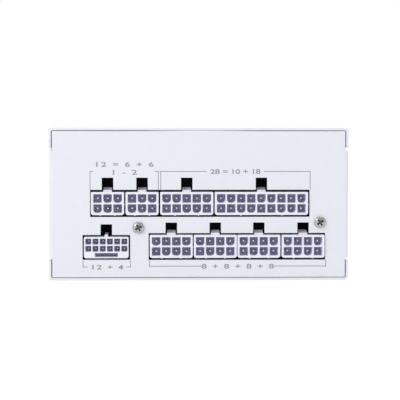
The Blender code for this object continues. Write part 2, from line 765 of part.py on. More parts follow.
def fan_rotor():
    """The hub cup and nine swept blades, turning about its own Z axis."""
    bm = bmesh.new()
    inside = HUB - 1.4
    cup = ((0, 13.6), (HUB - 1.2, 13.6), (HUB, 12.6), (HUB, 2.2), (inside, 2.2), (inside, 12.0), (0, 12.0))
    add_turned(bm, cup, 32)
    rotor = add_object("fan_rotor", bm, BLACK_PLASTIC)
    blades = bmesh.new()
    spans = ((HUB - 0.7, 38, 12.0), (30.0, 31, 19.0), (BLADE_TIP, 24, 25.0))
    for blade in range(BLADES):
        start = math.tau * blade / BLADES
        rings = []
        for index, (radius, pitch, chord) in enumerate(spans):
            sweep = start + index * 0.2
            points = blade_section(radius, sweep, math.radians(pitch), chord, 7.4, 1.4)
            rings.append([blades.verts.new(point) for point in points])
        blades.faces.new(rings[0])
        blades.faces.new(rings[-1])
        for lower, upper in zip(rings, rings[1:]):
            for k, vertex in enumerate(lower):
                j = (k + 1) % len(lower)
                blades.faces.new((vertex, lower[j], upper[j], upper[k]))
    join(rotor, blades)
    shaft_socket = bmesh.new()
    add_prism(shaft_socket, circle(0, 0, 1.3, 12), 11, 13, "Z")
    cut(rotor, shaft_socket)
    shade(rotor, 35)
    place(rotor, 0, MIDDLE, FAN_LOW)

    bm = bmesh.new()
    add_turned(bm, ((0, 2.0), (0.8, 2.0), (1.0, 2.3), (1.0, 12.7), (0, 12.7)), 12)
    shaft = add_object("fan_shaft", bm, STEEL, 35)
    place(shaft, 0, MIDDLE, FAN_LOW)


def fan_stator():
    """The four-pole stator core that the hub turns round."""
    bm = bmesh.new()
    points = []
    for pole in range(4):
        middle = 90 * pole
        points += arc(0, 0, 15.2, middle - 36, middle + 36, 6)
        points.append((8 * math.cos(math.radians(middle + 45)), 8 * math.sin(math.radians(middle + 45))))
    add_prism(bm, points, 3.0, 9.6, "Z")
    stator = add_object("fan_stator", bm, COPPER)
    bore = bmesh.new()
    add_prism(bore, circle(0, 0, 4.0, 20), 0, 12, "Z")
    cut(stator, bore)
    place(stator, 0, MIDDLE, FAN_LOW)


def fan_guard():
    """The wire guard: rings on two crossing spokes that end in screw eyes."""
    rings = [GUARD_OUTER - k * GUARD_PITCH for k in range(7)]
    half = GUARD_WIRE / 2
    bm = bmesh.new()
    reach = FAN_HOLE * math.sqrt(2) - 3.2
    turn = Matrix.Rotation(math.pi / 4, 4, "Z")
    add_prism(bm, rectangle(-reach, reach, -half, half), 0, half * 1.2, "Z")
    bmesh.ops.transform(bm, matrix=turn, verts=bm.verts)
    guard = add_object("fan_guard", bm, STEEL)
    other = bmesh.new()
    add_prism(other, rectangle(-half, half, -reach, reach), 0, half * 1.2, "Z")
    bmesh.ops.transform(other, matrix=turn, verts=other.verts)
    join(guard, other)
    circles = bmesh.new()
    for radius in rings:
        add_tube(circles, radius - half, radius + half, half * 0.8, GUARD_WIRE, 24)
    join(guard, circles)
    eyes = bmesh.new()
    for x in (-FAN_HOLE, FAN_HOLE):
        for y in (-FAN_HOLE, FAN_HOLE):
            add_tube(eyes, 2.5, 2.5 + GUARD_WIRE, 0.1, half * 1.1, 12, Matrix.Translation((x, y, 0)))
    join(guard, eyes)
    place(guard, 0, MIDDLE, GUARD_TOP - GUARD_WIRE)


# ---------------------------------------------------------------- mains face

def ac_inlet():
    """The three-pole appliance inlet: flange, snap-in body and socket."""
    bm = bmesh.new()
    add_prism(bm, chamfered(-14, 14, -10.5, 10.5, 3.0), -17.0, 1, "Y")
    inlet = add_object("ac_inlet", bm, BLACK_PLASTIC)
    flange = bmesh.new()
    add_prism(flange, rounded(-16, 16, -12.5, 12.5, 2.0), CLEAR, 2.6, "Y")
    join(inlet, flange)
    socket = bmesh.new()
    add_prism(socket, chamfered(-12.2, 12.2, -8.2, 8.2, 4.2), -14.0, 5, "Y")
    cut(inlet, socket)
    slots = bmesh.new()
    for x, z in blade_places():
        add_box(slots, (x - 1.4, x + 1.4), (-20, -12), (z - 2.4, z + 2.4))
    cut(inlet, slots)
    place(inlet, INLET_X, REAR, INLET_Z)


def blade_places():
    """Return the centres of the live, neutral and earth blades in the inlet."""
    return ((7.0, 2.0), (-7.0, 2.0), (0.0, -2.0))


def inlet_blades():
    """The inlet's three contact blades, each ending in a solder tab."""
    names = ("inlet_live_blade", "inlet_neutral_blade", "inlet_earth_blade")
    for name, (x, z) in zip(names, blade_places()):
        bm = bmesh.new()
        side = ((-21.5, -1.2), (-21.5, 1.2), (-17.5, 1.2), (-17.5, 2.0), (-3.0, 2.0), (-2.2, 1.2),
                (-2.2, -1.2), (-3.0, -2.0), (-17.5, -2.0), (-17.5, -1.2))
        add_prism(bm, side, -1.0, 1.0, "X")
        blade = add_object(name, bm, BRASS)
        place(blade, INLET_X + x, REAR, INLET_Z + z)


def switch():
    """The rocker switch: a snap-in bezel with a rocker on a cross pivot."""
    bm = bmesh.new()
    add_prism(bm, rectangle(-6.5, 6.5, -9.5, 9.5), -14, 1, "Y")
    bezel = add_object("switch_bezel", bm, BLACK_PLASTIC)
    flange = bmesh.new()
    add_prism(flange, rounded(-7.5, 7.5, -10.5, 10.5, 1.2), CLEAR, 2.0, "Y")
    join(bezel, flange)
    well = bmesh.new()
    add_prism(well, rectangle(-5.4, 5.4, -8.6, 8.6), -9.0, 3, "Y")
    cut(bezel, well)
    pivots = bmesh.new()
    add_prism(pivots, circle(-PIVOT_IN, 0, 1.5, 12), -6.2, 6.2, "X")
    cut(bezel, pivots)
    place(bezel, SWITCH_X, REAR, SWITCH_Z)

    bm = bmesh.new()
    section = [(4.55, -8.1), (3.0, 0), (4.55, 8.1), (1.0, 8.0), (-4.0, 3.0), (-4.0, -3.0), (1.0, -8.0)]
    add_prism(bm, section, -5.0, 5.0, "X")
    rocker = add_object("switch_rocker", bm, BLACK_PLASTIC)
    trunnions = bmesh.new()
    add_prism(trunnions, circle(0, 0, 1.2, 12), -5.9, 5.9, "X")
    join(rocker, trunnions)
    place(rocker, SWITCH_X, REAR - PIVOT_IN, SWITCH_Z, (-ROCKER_TILT, 0, 0))


# ---------------------------------------------------------------- inside

def main_board():
    """The main circuit board and the insulating film under it."""
    bm = bmesh.new()
    add_box(bm, (-MAIN_HALF, MAIN_HALF), (MAIN_FRONT, MAIN_REAR), (MAIN_LOW, MAIN_TOP))
    board = add_object("main_board", bm, BOARD_GREEN)
    holes = bmesh.new()
    for x, y in BOARD_SCREWS:
        add_prism(holes, circle(x, y, 1.7, 12), 0, 20, "Z")
    cut(board, holes)
    bm = bmesh.new()
    film_low = SHEET + CLEAR
    add_box(bm, (-59, 59), (FRONT + 9, REAR - 2), (film_low, film_low + 0.4))
    film = add_object("insulation_sheet", bm, MICA)
    holes = bmesh.new()
    for x, y in BOARD_SCREWS:
        add_prism(holes, circle(x, y, 3.7, 16), 0, 20, "Z")
    cut(film, holes)


def standing_can(name, x, y, radius, height, finish):
    """An electrolytic capacitor standing on the board, with its crimp groove and vent top."""
    bm = bmesh.new()
    profile = ((0, 0), (radius, 0), (radius, 2.2), (radius - 0.7, 3.0), (radius, 3.8),
               (radius, height - 0.8), (radius - 0.8, height), (0, height))
    add_turned(bm, profile, 20)
    can = add_object(name, bm, finish, 35)
    place(can, x, y, ON_BOARD)


def toroid(name, x, y, ring, tube, finish):
    """A wound ring core lying on the board."""
    bm = bmesh.new()
    around = 24
    section = 6
    rings = []
    for k in range(around):
        turn = Matrix.Rotation(math.tau * k / around, 4, "Z")
        loop = []
        for j in range(section):
            angle = math.tau * (j + 0.5) / section
            point = Vector((ring + tube * math.cos(angle), 0, tube * math.sin(angle)))
            loop.append(bm.verts.new(turn @ point))
        rings.append(loop)
    for first, second in zip(rings, rings[1:] + rings[:1]):
        for j in range(section):
            i = (j + 1) % section
            bm.faces.new((first[j], second[j], second[i], first[i]))
    made = add_object(name, bm, finish, 60)
    place(made, x, y, ON_BOARD + tube)


def fin_plate(name, length, height, fins, fin_depth, x, y, rotation=0.0):
    """An extruded heat sink: an upright plate with a row of fins on one side."""
    bm = bmesh.new()
    base = 2.5
    step = length / fins
    fin = step * 0.35
    plan = [(0, 0), (length, 0)]
    for k in reversed(range(fins)):
        right = k * step + (step + fin) / 2
        left = right - fin
        plan += [(right, base), (right, base + fin_depth), (left, base + fin_depth), (left, base)]
    plan.insert(2, (length, base))
    plan.append((0, base))
    add_prism(bm, plan, 0, height, "Z")
    made = add_object(name, bm, ALUMINIUM)
    place(made, x, y, ON_BOARD, (0, 0, rotation))


def transformer(x, y):
    """The main transformer: a ferrite core with two windows, and the taped winding in them."""
    bm = bmesh.new()
    add_prism(bm, rectangle(-17, 17, 0, 31), -10, 10, "Y")
    core = add_object("main_transformer_core", bm, FERRITE)
    windows = bmesh.new()
    for side in (-1, 1):
        low, high = sorted((side * 5.3, side * 12.6))
        add_prism(windows, rectangle(low, high, 5, 26), -12, 12, "Y")
    cut(core, windows)
    bevel(core, 0.6, 1)
    place(core, x, y, ON_BOARD)

    bm = bmesh.new()
    add_prism(bm, rounded(-12.3, 12.3, -16.5, 16.5, 5.0), 5.3, 25.7, "Z")
    winding = add_object("main_transformer_winding", bm, TAPE)
    bore = bmesh.new()
    add_box(bore, (-5.6, 5.6), (-10.3, 10.3), (0, 30))
    cut(winding, bore)
    place(winding, x, y, ON_BOARD)


def box_part(name, size, x, y, z, finish, edge=0.8):
    """A moulded or potted box with rounded edges, standing at z."""
    width, depth, height = size
    bm = bmesh.new()
    add_box(bm, (-width / 2, width / 2), (-depth / 2, depth / 2), (0, height))
    made = add_object(name, bm, finish, 35)
    bevel(made, edge)
    place(made, x, y, z)
    return made


def bus_bar(name, x, width):
    """A folded copper bar that joins the upright board to the main board."""
    back = BOARD_FRONT + BOARD_THICK + CLEAR
    side = ((back, ON_BOARD + 18), (back, ON_BOARD), (back + 7, ON_BOARD),
            (back + 7, ON_BOARD + 1.2), (back + 1.2, ON_BOARD + 1.2), (back + 1.2, ON_BOARD + 18))
    bm = bmesh.new()
    add_prism(bm, side, x - width / 2, x + width / 2, "X")
    add_object(name, bm, COPPER)


def lead(name, route, radius, finish):
    """An insulated wire along a smooth route through its own points."""
    points = [Vector(point) for point in route]
    padded = [2 * points[0] - points[1]] + points + [2 * points[-1] - points[-2]]
    smooth = []
    steps = 3
    for k in range(1, len(padded) - 2):
        before, here, after, beyond = padded[k - 1:k + 3]
        for step in range(steps):
            t = step / steps
            smooth.append(0.5 * (2 * here + (after - before) * t
                                 + (2 * before - 5 * here + 4 * after - beyond) * t * t
                                 + (3 * here - before - 3 * after + beyond) * t ** 3))
    smooth.append(points[-1])
    curve = bpy.data.curves.new(name, "CURVE")
    curve.dimensions = "3D"
    curve.bevel_depth = radius * MM
    curve.bevel_resolution = 2
    curve.use_fill_caps = True
    spline = curve.splines.new("POLY")
    spline.points.add(len(smooth) - 1)
    for target, point in zip(spline.points, smooth):
        target.co = (*(point * MM), 1.0)
    curve.materials.append(finish)
    made = bpy.data.objects.new(name, curve)
    bpy.context.scene.collection.objects.link(made)


def fuse():
    """The cartridge fuse, lying in its clips."""
    bm = bmesh.new()
    profile = ((0, -10), (2.6, -10), (2.6, -5), (2.4, -5), (2.4, 5), (2.6, 5), (2.6, 10), (0, 10))
    add_turned(bm, profile, 16)
    made = add_object("fuse", bm, CERAMIC, 35)
    place(made, 6.0, 14.0, ON_BOARD + 3.2, (0, math.pi / 2, 0))


def inside():
    """The parts on the main board, from the mains input to the outputs."""
    main_board()
    box_part("x_capacitor", (17, 8, 15), 49.5, 17.0, ON_BOARD, FILM_YELLOW)
    toroid("common_mode_choke", 29.0, 14.4, 6.6, 3.6, COPPER)
    fuse()
    fin_plate("primary_heatsink", 44, 33, 8, 5.0, 12.0, -4.2)
    box_part("bridge_rectifier", (22, 4, 17), 30.0, -6.8, ON_BOARD + 14.0, EPOXY, 0.6)
    standing_can("bulk_capacitor", 40.0, -21.6, 12.3, 35.0, SLEEVE)
    toroid("pfc_choke", 10.5, -20.0, 8.6, 5.2, COPPER)
    transformer(-23.5, -13.0)
    box_part("standby_transformer", (19, 17, 18), -14.5, 26.0, ON_BOARD, TAPE, 1.0)
    fin_plate("secondary_heatsink", 46, 30, 8, 4.5, -45.0, -30.0, math.pi / 2)
    standing_can("output_capacitor_1", -38.0, 27.0, 5.0, 22.0, SLEEVE)
    standing_can("output_capacitor_2", -38.0, 39.0, 5.0, 22.0, SLEEVE)
    bus_bar("bus_bar_12v", -44.0, 8.0)
    bus_bar("bus_bar_ground", -3.0, 8.0)
    tab = REAR - 22.1
    live = INLET_X + blade_places()[0][0]
    neutral = INLET_X + blade_places()[1][0]
    blade_z = INLET_Z + blade_places()[0][1]
    low = ON_BOARD + 0.2
    lead("live_wire", ((live, tab, blade_z), (live, tab - 1.5, blade_z), (live + 8, tab - 3, blade_z - 5),
                       (live + 10.5, tab - 3, low + 4), (live + 10.5, tab - 3, low)), 1.1, WIRE_BROWN)
    lead("neutral_wire", ((neutral, tab, blade_z), (neutral, tab - 1.5, blade_z),
                          (neutral - 8, tab - 1, blade_z - 3), (neutral - 8.5, tab, low + 4),
                          (neutral - 8.5, tab, low)), 1.1, WIRE_BLUE)
    lead("fan_lead", ((-40.5, MIDDLE + 38.0, FAN_LOW - 1.6), (-46.0, 38.5, FAN_LOW - 3.5),
                      (-50.5, 37.5, FAN_LOW - 12), (-50.5, 32.0, 20), (-50.5, 30.0, 12),
                      (-50.5, 30.0, low)), 1.0, BLACK_PLASTIC)


def build():
    """Build the whole unit."""
    top_cover()
    bottom_tray()
    front_panel()
    for entry in HEADERS:
        header(*entry)
    gpu_header()
    modular_board()
    modular_standoffs()
    screws()
    fan_frame()
    fan_rotor()
    fan_stator()
    fan_guard()
    ac_inlet()
    inlet_blades()
    switch()
    inside()


build()
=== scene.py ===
import math

import bmesh
import bpy
from mathutils import Matrix, Vector


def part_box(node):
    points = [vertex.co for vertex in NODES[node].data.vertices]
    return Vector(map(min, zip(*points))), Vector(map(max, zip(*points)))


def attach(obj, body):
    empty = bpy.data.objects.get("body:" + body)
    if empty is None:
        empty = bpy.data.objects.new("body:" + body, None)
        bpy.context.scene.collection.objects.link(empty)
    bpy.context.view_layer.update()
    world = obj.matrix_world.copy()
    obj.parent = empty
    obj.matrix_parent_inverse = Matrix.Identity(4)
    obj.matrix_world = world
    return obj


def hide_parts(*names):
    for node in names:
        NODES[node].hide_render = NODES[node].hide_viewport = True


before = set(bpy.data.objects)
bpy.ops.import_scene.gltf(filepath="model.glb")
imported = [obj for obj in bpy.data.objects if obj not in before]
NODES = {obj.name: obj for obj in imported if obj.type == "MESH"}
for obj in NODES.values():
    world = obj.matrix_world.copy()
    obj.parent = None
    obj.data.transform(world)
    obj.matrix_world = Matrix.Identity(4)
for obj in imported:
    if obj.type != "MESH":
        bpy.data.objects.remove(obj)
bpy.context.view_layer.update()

# Lengths are in millimetres; meshes are written in metres.
MM = 0.001
PITCH = 4.2
HEADER_KEYS = {
    "peripheral_header_1": ("SRR", "RRS"),
    "peripheral_header_2": ("SRR", "RRS"),
    "atx_header_10pin": ("RRSSR", "SSRRS"),
    "atx_header_18pin": ("RRSSRRSSR", "SSRRSSRRS"),
    "cpu_pcie_header_1": ("RSSR", "SRRS"),
    "cpu_pcie_header_2": ("RSSR", "SRRS"),
    "cpu_pcie_header_3": ("RSSR", "SRRS"),
    "cpu_pcie_header_4": ("RSSR", "SRRS"),
}
GPU_HEADER = "gpu_header_16pin"


def span(node):
    """Return a node's box in millimetres: its low corner, high corner and centre."""
    low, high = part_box(node)
    low = low / MM
    high = high / MM
    return low, high, (low + high) / 2


FACE = span("front_panel")[0].y
REAR = span("bottom_tray")[1].y
FAN_LOW, FAN_HIGH, FAN_MID = span("fan_frame")


# ---------------------------------------------------------------- materials

# Where a colour ramp starts and ends, and the part of a noise texture's range that is used.
RAMP_STOPS = (0.35, 0.65)
NOISE_RANGE = (0.3, 0.7)


def link(tree, source, target):
    """Join two sockets."""
    tree.links.new(source, target)


def noise(tree, feature, detail=3.0, stretch=(1, 1, 1)):
    """Return a noise texture's output; feature is its grain size in millimetres."""
    place = tree.nodes.new("ShaderNodeTexCoord")
    mapping = tree.nodes.new("ShaderNodeMapping")
    mapping.inputs["Scale"].default_value = stretch
    texture = tree.nodes.new("ShaderNodeTexNoise")
    texture.inputs["Scale"].default_value = 1 / (feature * MM)
    texture.inputs["Detail"].default_value = detail
    link(tree, place.outputs["Object"], mapping.inputs["Vector"])
    link(tree, mapping.outputs["Vector"], texture.inputs["Vector"])
    return texture.outputs["Fac"]


def map_range(tree, value, before, after):
    """Return value carried from one (low, high) range to another."""
    spread = tree.nodes.new("ShaderNodeMapRange")
    spread.inputs["From Min"].default_value = before[0]
    spread.inputs["From Max"].default_value = before[1]
    spread.inputs["To Min"].default_value = after[0]
    spread.inputs["To Max"].default_value = after[1]
    link(tree, value, spread.inputs["Value"])
    return spread.outputs["Result"]


def surface(name, dark, light, rough, grain, bumps, metallic=0.0, stretch=(1, 1, 1), **sockets):
    """Return a procedural material.

    dark and light are the two ends of its colour variation, rough the range of
    its roughness, grain the size of both in millimetres, and bumps a list of
    (grain size, depth) pairs in millimetres. sockets sets shader inputs.
    """
    made = bpy.data.materials.new(name)
    made.use_nodes = True
    tree = made.node_tree
    shader = tree.nodes["Principled BSDF"]
    shader.inputs["Metallic"].default_value = metallic
    for key, value in sockets.items():
        shader.inputs[key.replace("_", " ")].default_value = value
    variation = noise(tree, grain, 4.0, stretch)
    ramp = tree.nodes.new("ShaderNodeValToRGB")
    for stop, position, color in zip(ramp.color_ramp.elements, RAMP_STOPS, (dark, light)):
        stop.position = position
        stop.color = (*color, 1)
    link(tree, variation, ramp.inputs["Fac"])
    link(tree, ramp.outputs["Color"], shader.inputs["Base Color"])
    gloss = map_range(tree, noise(tree, grain * 0.6, 3.0, stretch), NOISE_RANGE, rough)
    link(tree, gloss, shader.inputs["Roughness"])
    normal = None
    for feature, depth in bumps:
        bump = tree.nodes.new("ShaderNodeBump")
        bump.inputs["Strength"].default_value = 1.0
        bump.inputs["Distance"].default_value = depth * MM
        link(tree, noise(tree, feature, 2.0, stretch), bump.inputs["Height"])
        if normal:
            link(tree, normal, bump.inputs["Normal"])
        normal = bump.outputs["Normal"]
    if normal:
        link(tree, normal, shader.inputs["Normal"])
    return made


POWDER = surface("powder_coat", (0.81, 0.83, 0.892), (0.822, 0.842, 0.902),
                 (0.46, 0.52), 4.0, [(0.9, 0.012), (0.22, 0.006)])
NYLON = surface("header_nylon", (0.84, 0.84, 0.93), (0.9, 0.9, 0.97),
                (0.38, 0.5), 2.5, [(0.25, 0.004)])
# The cavity nylon glows faintly blue: painted light that lifts the shade inside the headers'
# cavities, standing in for light let through the nylon.
NYLON_PAINTED_GLOW = surface("cavity_nylon_painted_glow", (0.86, 0.86, 0.98), (0.9, 0.9, 1.0),
                     (0.5, 0.6), 1.5, [(0.25, 0.004)], Emission_Color=(0.68, 0.74, 1.0, 1),
                     Emission_Strength=0.022)
BLACK_MOULD = surface("black_moulding", (0.016, 0.016, 0.018), (0.026, 0.026, 0.028),
                      (0.42, 0.6), 1.2, [(0.18, 0.006)])
BLACK_SMOOTH = surface("black_polished", (0.012, 0.012, 0.013), (0.018, 0.018, 0.02),
                       (0.16, 0.26), 4.0, [(1.5, 0.002)])
FAN_BLACK = surface("fan_thermoplastic", (0.02, 0.02, 0.022), (0.032, 0.032, 0.034),
                    (0.32, 0.46), 2.0, [(0.3, 0.003)])
NICKEL = surface("nickel_plate", (0.5, 0.5, 0.49), (0.64, 0.64, 0.63),
                 (0.16, 0.28), 0.8, [(0.12, 0.002)], 1.0)
ZINC = surface("zinc_plate", (0.24, 0.245, 0.245), (0.72, 0.725, 0.72),
               (0.2, 0.36), 0.5, [(0.7, 0.06), (0.15, 0.004)], 1.0)
TIN = surface("tin_plate", (0.74, 0.74, 0.76), (0.9, 0.9, 0.92),
              (0.22, 0.34), 0.6, [(0.1, 0.002)], 1.0)
# Dark zinc for the face screws' cross recesses: painted shade that darkens the cross.
ZINC_PAINTED_SHADE = surface("zinc_recess_painted_shade", (0.08, 0.081, 0.081), (0.24, 0.242, 0.24),
                    (0.4, 0.55), 0.5, [(0.2, 0.01)], 1.0)
BRASS = surface("brass_turned", (0.62, 0.46, 0.22), (0.76, 0.6, 0.32),
                (0.22, 0.36), 0.8, [(0.15, 0.003)], 1.0)
ALUMINIUM = surface("extruded_aluminium", (0.62, 0.63, 0.65), (0.76, 0.77, 0.79),
                    (0.28, 0.42), 0.5, [(0.15, 0.004)], 1.0, (6, 6, 0.15))
COPPER = surface("enamelled_copper", (0.5, 0.2, 0.08), (0.66, 0.3, 0.13),
                 (0.2, 0.32), 0.8, [(0.2, 0.003)], 1.0)
TINNED = surface("tinned_copper_bar", (0.62, 0.6, 0.58), (0.78, 0.75, 0.71),
                 (0.28, 0.4), 0.9, [(0.3, 0.004)], 1.0)
FERRITE = surface("sintered_ferrite", (0.03, 0.03, 0.033), (0.06, 0.06, 0.063),
                  (0.5, 0.7), 0.8, [(0.2, 0.01)])
TAPE = surface("polyester_tape", (0.72, 0.5, 0.04), (0.82, 0.6, 0.07),
               (0.15, 0.3), 3.0, [(1.6, 0.01)], stretch=(0.4, 0.4, 3))
FILM_YELLOW = surface("film_case", (0.72, 0.52, 0.05), (0.8, 0.6, 0.08),
                      (0.35, 0.5), 1.5, [(0.2, 0.005)])
SLEEVE = surface("shrink_sleeve", (0.014, 0.014, 0.03), (0.022, 0.022, 0.042),
                 (0.18, 0.3), 3.0, [(1.2, 0.01)])
EPOXY = surface("moulded_epoxy", (0.015, 0.015, 0.016), (0.03, 0.03, 0.031),
                (0.45, 0.62), 0.7, [(0.15, 0.006)])
MASK_BLACK = surface("solder_mask", (0.005, 0.006, 0.01), (0.009, 0.01, 0.018),
                     (0.4, 0.55), 1.8, [(1.2, 0.01)], Specular_IOR_Level=0.15)
FILM_CLEAR = surface("insulating_film", (0.5, 0.47, 0.38), (0.58, 0.55, 0.46),
                     (0.2, 0.35), 5.0, [(2.5, 0.02)])
CERAMIC = surface("glazed_ceramic", (0.78, 0.75, 0.68), (0.84, 0.82, 0.76),
                  (0.12, 0.22), 2.0, [(0.8, 0.004)])
WIRE_BROWN = surface("brown_insulation", (0.16, 0.06, 0.03), (0.2, 0.08, 0.04),
                     (0.35, 0.5), 1.0, [(0.3, 0.006)])
WIRE_BLUE = surface("blue_insulation", (0.02, 0.07, 0.3), (0.03, 0.1, 0.38),
                    (0.35, 0.5), 1.0, [(0.3, 0.006)])
INK = surface("printed_ink", (0.30, 0.305, 0.32), (0.35, 0.355, 0.37),
              (0.5, 0.62), 0.5, [(0.1, 0.002)])
WHITE_INK = surface("white_ink", (0.75, 0.75, 0.76), (0.82, 0.82, 0.83),
                    (0.45, 0.55), 0.5, [(0.1, 0.002)])
STICKER = surface("hub_sticker", (0.55, 0.56, 0.58), (0.62, 0.63, 0.65),
                  (0.25, 0.35), 3.0, [(0.4, 0.002)])


# ---------------------------------------------------------------- mesh tools

def rectangle(u0, u1, v0, v1):
    """Return a rectangle's corners."""
    return [(u0, v0), (u1, v0), (u1, v1), (u0, v1)]


def arc(u, v, radius, start, end, steps):
    """Return points along an arc, angles in degrees."""
    points = []
    for k in range(steps + 1):
        angle = math.radians(start + (end - start) * k / steps)
        points.append((u + radius * math.cos(angle), v + radius * math.sin(angle)))
    return points


def rounded(u0, u1, v0, v1, radii, steps=5):
    """Return a rectangle with round corners; radii start at the lower left, anticlockwise."""
    a, b, c, d = radii
    points = arc(u0 + a, v0 + a, a, 180, 270, steps)
    points += arc(u1 - b, v0 + b, b, 270, 360, steps)
    points += arc(u1 - c, v1 - c, c, 0, 90, steps)
    points += arc(u0 + d, v1 - d, d, 90, 180, steps)
    return points


def ride(piece, body="chassis", replaces=()):
    """Tie a piece to its body, and hide the CAD nodes that it stands for."""
    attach(piece, body)
    if replaces:
        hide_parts(*replaces)
    return piece


def add_object(name, data):
    """Make an object and put it in the scene."""
    made = bpy.data.objects.new(name, data)
    bpy.context.scene.collection.objects.link(made)
    return made


def add_mesh(name, bm, finish, smooth=35):
    """Make an object from a mesh in millimetres."""
    bmesh.ops.recalc_face_normals(bm, faces=bm.faces)
    bmesh.ops.transform(bm, matrix=Matrix.Scale(MM, 4), verts=bm.verts)
    mesh = bpy.data.meshes.new(name)
    bm.to_mesh(mesh)
    bm.free()
    made = add_object(name, mesh)
    mesh.materials.append(finish)
    mesh.shade_smooth()
    mesh.set_sharp_from_angle(angle=math.radians(smooth))
    return made


def bevel(made, width, segments=3, angle=35):
    """Round an object's edges; width in millimetres."""
    modifier = made.modifiers.new("edges", "BEVEL")
    modifier.width = width * MM
    modifier.segments = segments
    modifier.limit_method = "ANGLE"
    modifier.angle_limit = math.radians(angle)
    modifier.harden_normals = True
    return made


def add_prism(bm, outline, low, high, axis="Y"):
    """Extrude a closed outline: (y, z) along X, (x, z) along Y or (x, y) along Z."""
    places = {
        "X": lambda u, v, w: (w, u, v),
        "Y": lambda u, v, w: (u, w, v),
        "Z": lambda u, v, w: (u, v, w),
    }
    place = places[axis]
    start = [bm.verts.new(place(u, v, low)) for u, v in outline]
    end = [bm.verts.new(place(u, v, high)) for u, v in outline]
    bm.faces.new(start)
    bm.faces.new(end)
    for i, vertex in enumerate(start):
        j = (i + 1) % len(start)
        bm.faces.new((vertex, start[j], end[j], end[i]))


def add_turned(bm, profile, segments, matrix=Matrix()):
    """Turn (radius, height) points about the local Z axis."""
    rings = []
    for radius, height in profile:
        count = segments if radius > 0 else 1
        ring = []
        for k in range(count):
            angle = math.tau * k / segments
            point = Vector((radius * math.cos(angle), radius * math.sin(angle), height))
            ring.append(bm.verts.new(matrix @ point))
        rings.append(ring)
    for lower, upper in zip(rings, rings[1:]):
        for k in range(segments):
            j = (k + 1) % segments
            around = [lower[k % len(lower)], lower[j % len(lower)],
                      upper[j % len(upper)], upper[k % len(upper)]]
            bm.faces.new(list(dict.fromkeys(around)))


def quarter_copies(outline, low, high, matrix):
    """Return four prisms of one (x, y) outline, a quarter turn apart about the local Z axis."""
    copies = bmesh.new()
    for k in range(4):
        one = bmesh.new()
        add_prism(one, outline, low, high, "Z")
        turn = matrix @ Matrix.Rotation(k * math.pi / 2, 4, "Z")
        bmesh.ops.transform(one, matrix=turn, verts=one.verts)
        holder = bpy.data.meshes.new("quarter")
        one.to_mesh(holder)
        one.free()
        copies.from_mesh(holder)
        bpy.data.meshes.remove(holder)
    return copies


def plate(name, outlines, low, high, edge, finish, axis="Y"):
    """A plate with holes and rounded edges, from low to high along Y or Z.

    The first outline is the rim and the others are holes, as (x, z) or (x, y) points.
    """
    curve = bpy.data.curves.new(name, "CURVE")
    curve.dimensions = "2D"
    curve.fill_mode = "BOTH"
    curve.extrude = ((high - low) / 2 - edge) * MM
    curve.bevel_depth = edge * MM
    curve.bevel_resolution = 2
    curve.offset = -edge * MM
    for outline in outlines:
        spline = curve.splines.new("POLY")
        spline.points.add(len(outline) - 1)
        spline.use_cyclic_u = True
        for target, (u, v) in zip(spline.points, outline):
            target.co = (u * MM, v * MM, 0, 1)
    holder = add_object(name, curve)
    evaluated = holder.evaluated_get(bpy.context.evaluated_depsgraph_get())
    mesh = bpy.data.meshes.new_from_object(evaluated)
    bpy.data.objects.remove(holder, do_unlink=True)
    middle = (low + high) / 2 * MM
    if axis == "Y":
        mesh.transform(Matrix.Translation((0, middle, 0)) @ Matrix.Rotation(math.pi / 2, 4, "X"))
    else:
        mesh.transform(Matrix.Translation((0, 0, middle)))
    mesh.materials.clear()
    mesh.materials.append(finish)
    bm = bmesh.new()
    bm.from_mesh(mesh)
    bmesh.ops.remove_doubles(bm, verts=bm.verts, dist=0.002 * MM)
    bm.to_mesh(mesh)
    bm.free()
    made = add_object(name, mesh)
    mesh.shade_smooth()
    mesh.set_sharp_from_angle(angle=math.radians(40))
    return made


def tube(name, points, radius, finish, closed=False, sides=4):
    """A wire along points in millimetres."""
    curve = bpy.data.curves.new(name, "CURVE")
    curve.dimensions = "3D"
    curve.bevel_depth = radius * MM
    curve.bevel_resolution = sides
    curve.use_fill_caps = True
    spline = curve.splines.new("POLY")
    spline.points.add(len(points) - 1)
    spline.use_cyclic_u = closed
    for target, point in zip(spline.points, points):
        target.co = (*(Vector(point) * MM), 1)
    curve.materials.append(finish)
    return add_object(name, curve)


def merge(name, parts):
    """Join several mesh objects into one."""
    bm = bmesh.new()
    materials = []
    for part in parts:
        depsgraph = bpy.context.evaluated_depsgraph_get()
        mesh = bpy.data.meshes.new_from_object(part.evaluated_get(depsgraph))
        mesh.transform(part.matrix_world)
        offsets = []
        for material in mesh.materials:
            if material not in materials:
                materials.append(material)
            offsets.append(materials.index(material))
        for polygon in mesh.polygons:
            polygon.material_index = offsets[polygon.material_index]
        bm.from_mesh(mesh)
        bpy.data.meshes.remove(mesh)
    mesh = bpy.data.meshes.new(name)
    bm.to_mesh(mesh)
    bm.free()
    for material in materials:
        mesh.materials.append(material)
    for part in parts:
        bpy.data.objects.remove(part, do_unlink=True)
    return add_object(name, mesh)


# ---------------------------------------------------------------- connector face

CAVITY = 3.6
CAVITY_DEPTH = 10.5
HOUSING_HEIGHT = 9.6
GPU_PITCH = 3.0
SENSE_PITCH = 2.0
# Half the width of a power pin, of a pin of the 12+4 header and of a sense pin.
POWER_PIN = 0.535
GPU_PIN = 0.4
SENSE_PIN = 0.25
BOARD = 1.6
DIGIT_HEIGHT = 2.0
FONT_PER_DIGIT = 1.37


def cavity_outline(x, z, kind):
    """Return a terminal cavity: S is square, R has two round lower corners."""
    half = CAVITY / 2
    corner = 0.18
    low = 1.35 if kind == "R" else corner
    return rounded(x - half, x + half, z - half, z + half, (low, low, corner, corner), 4)


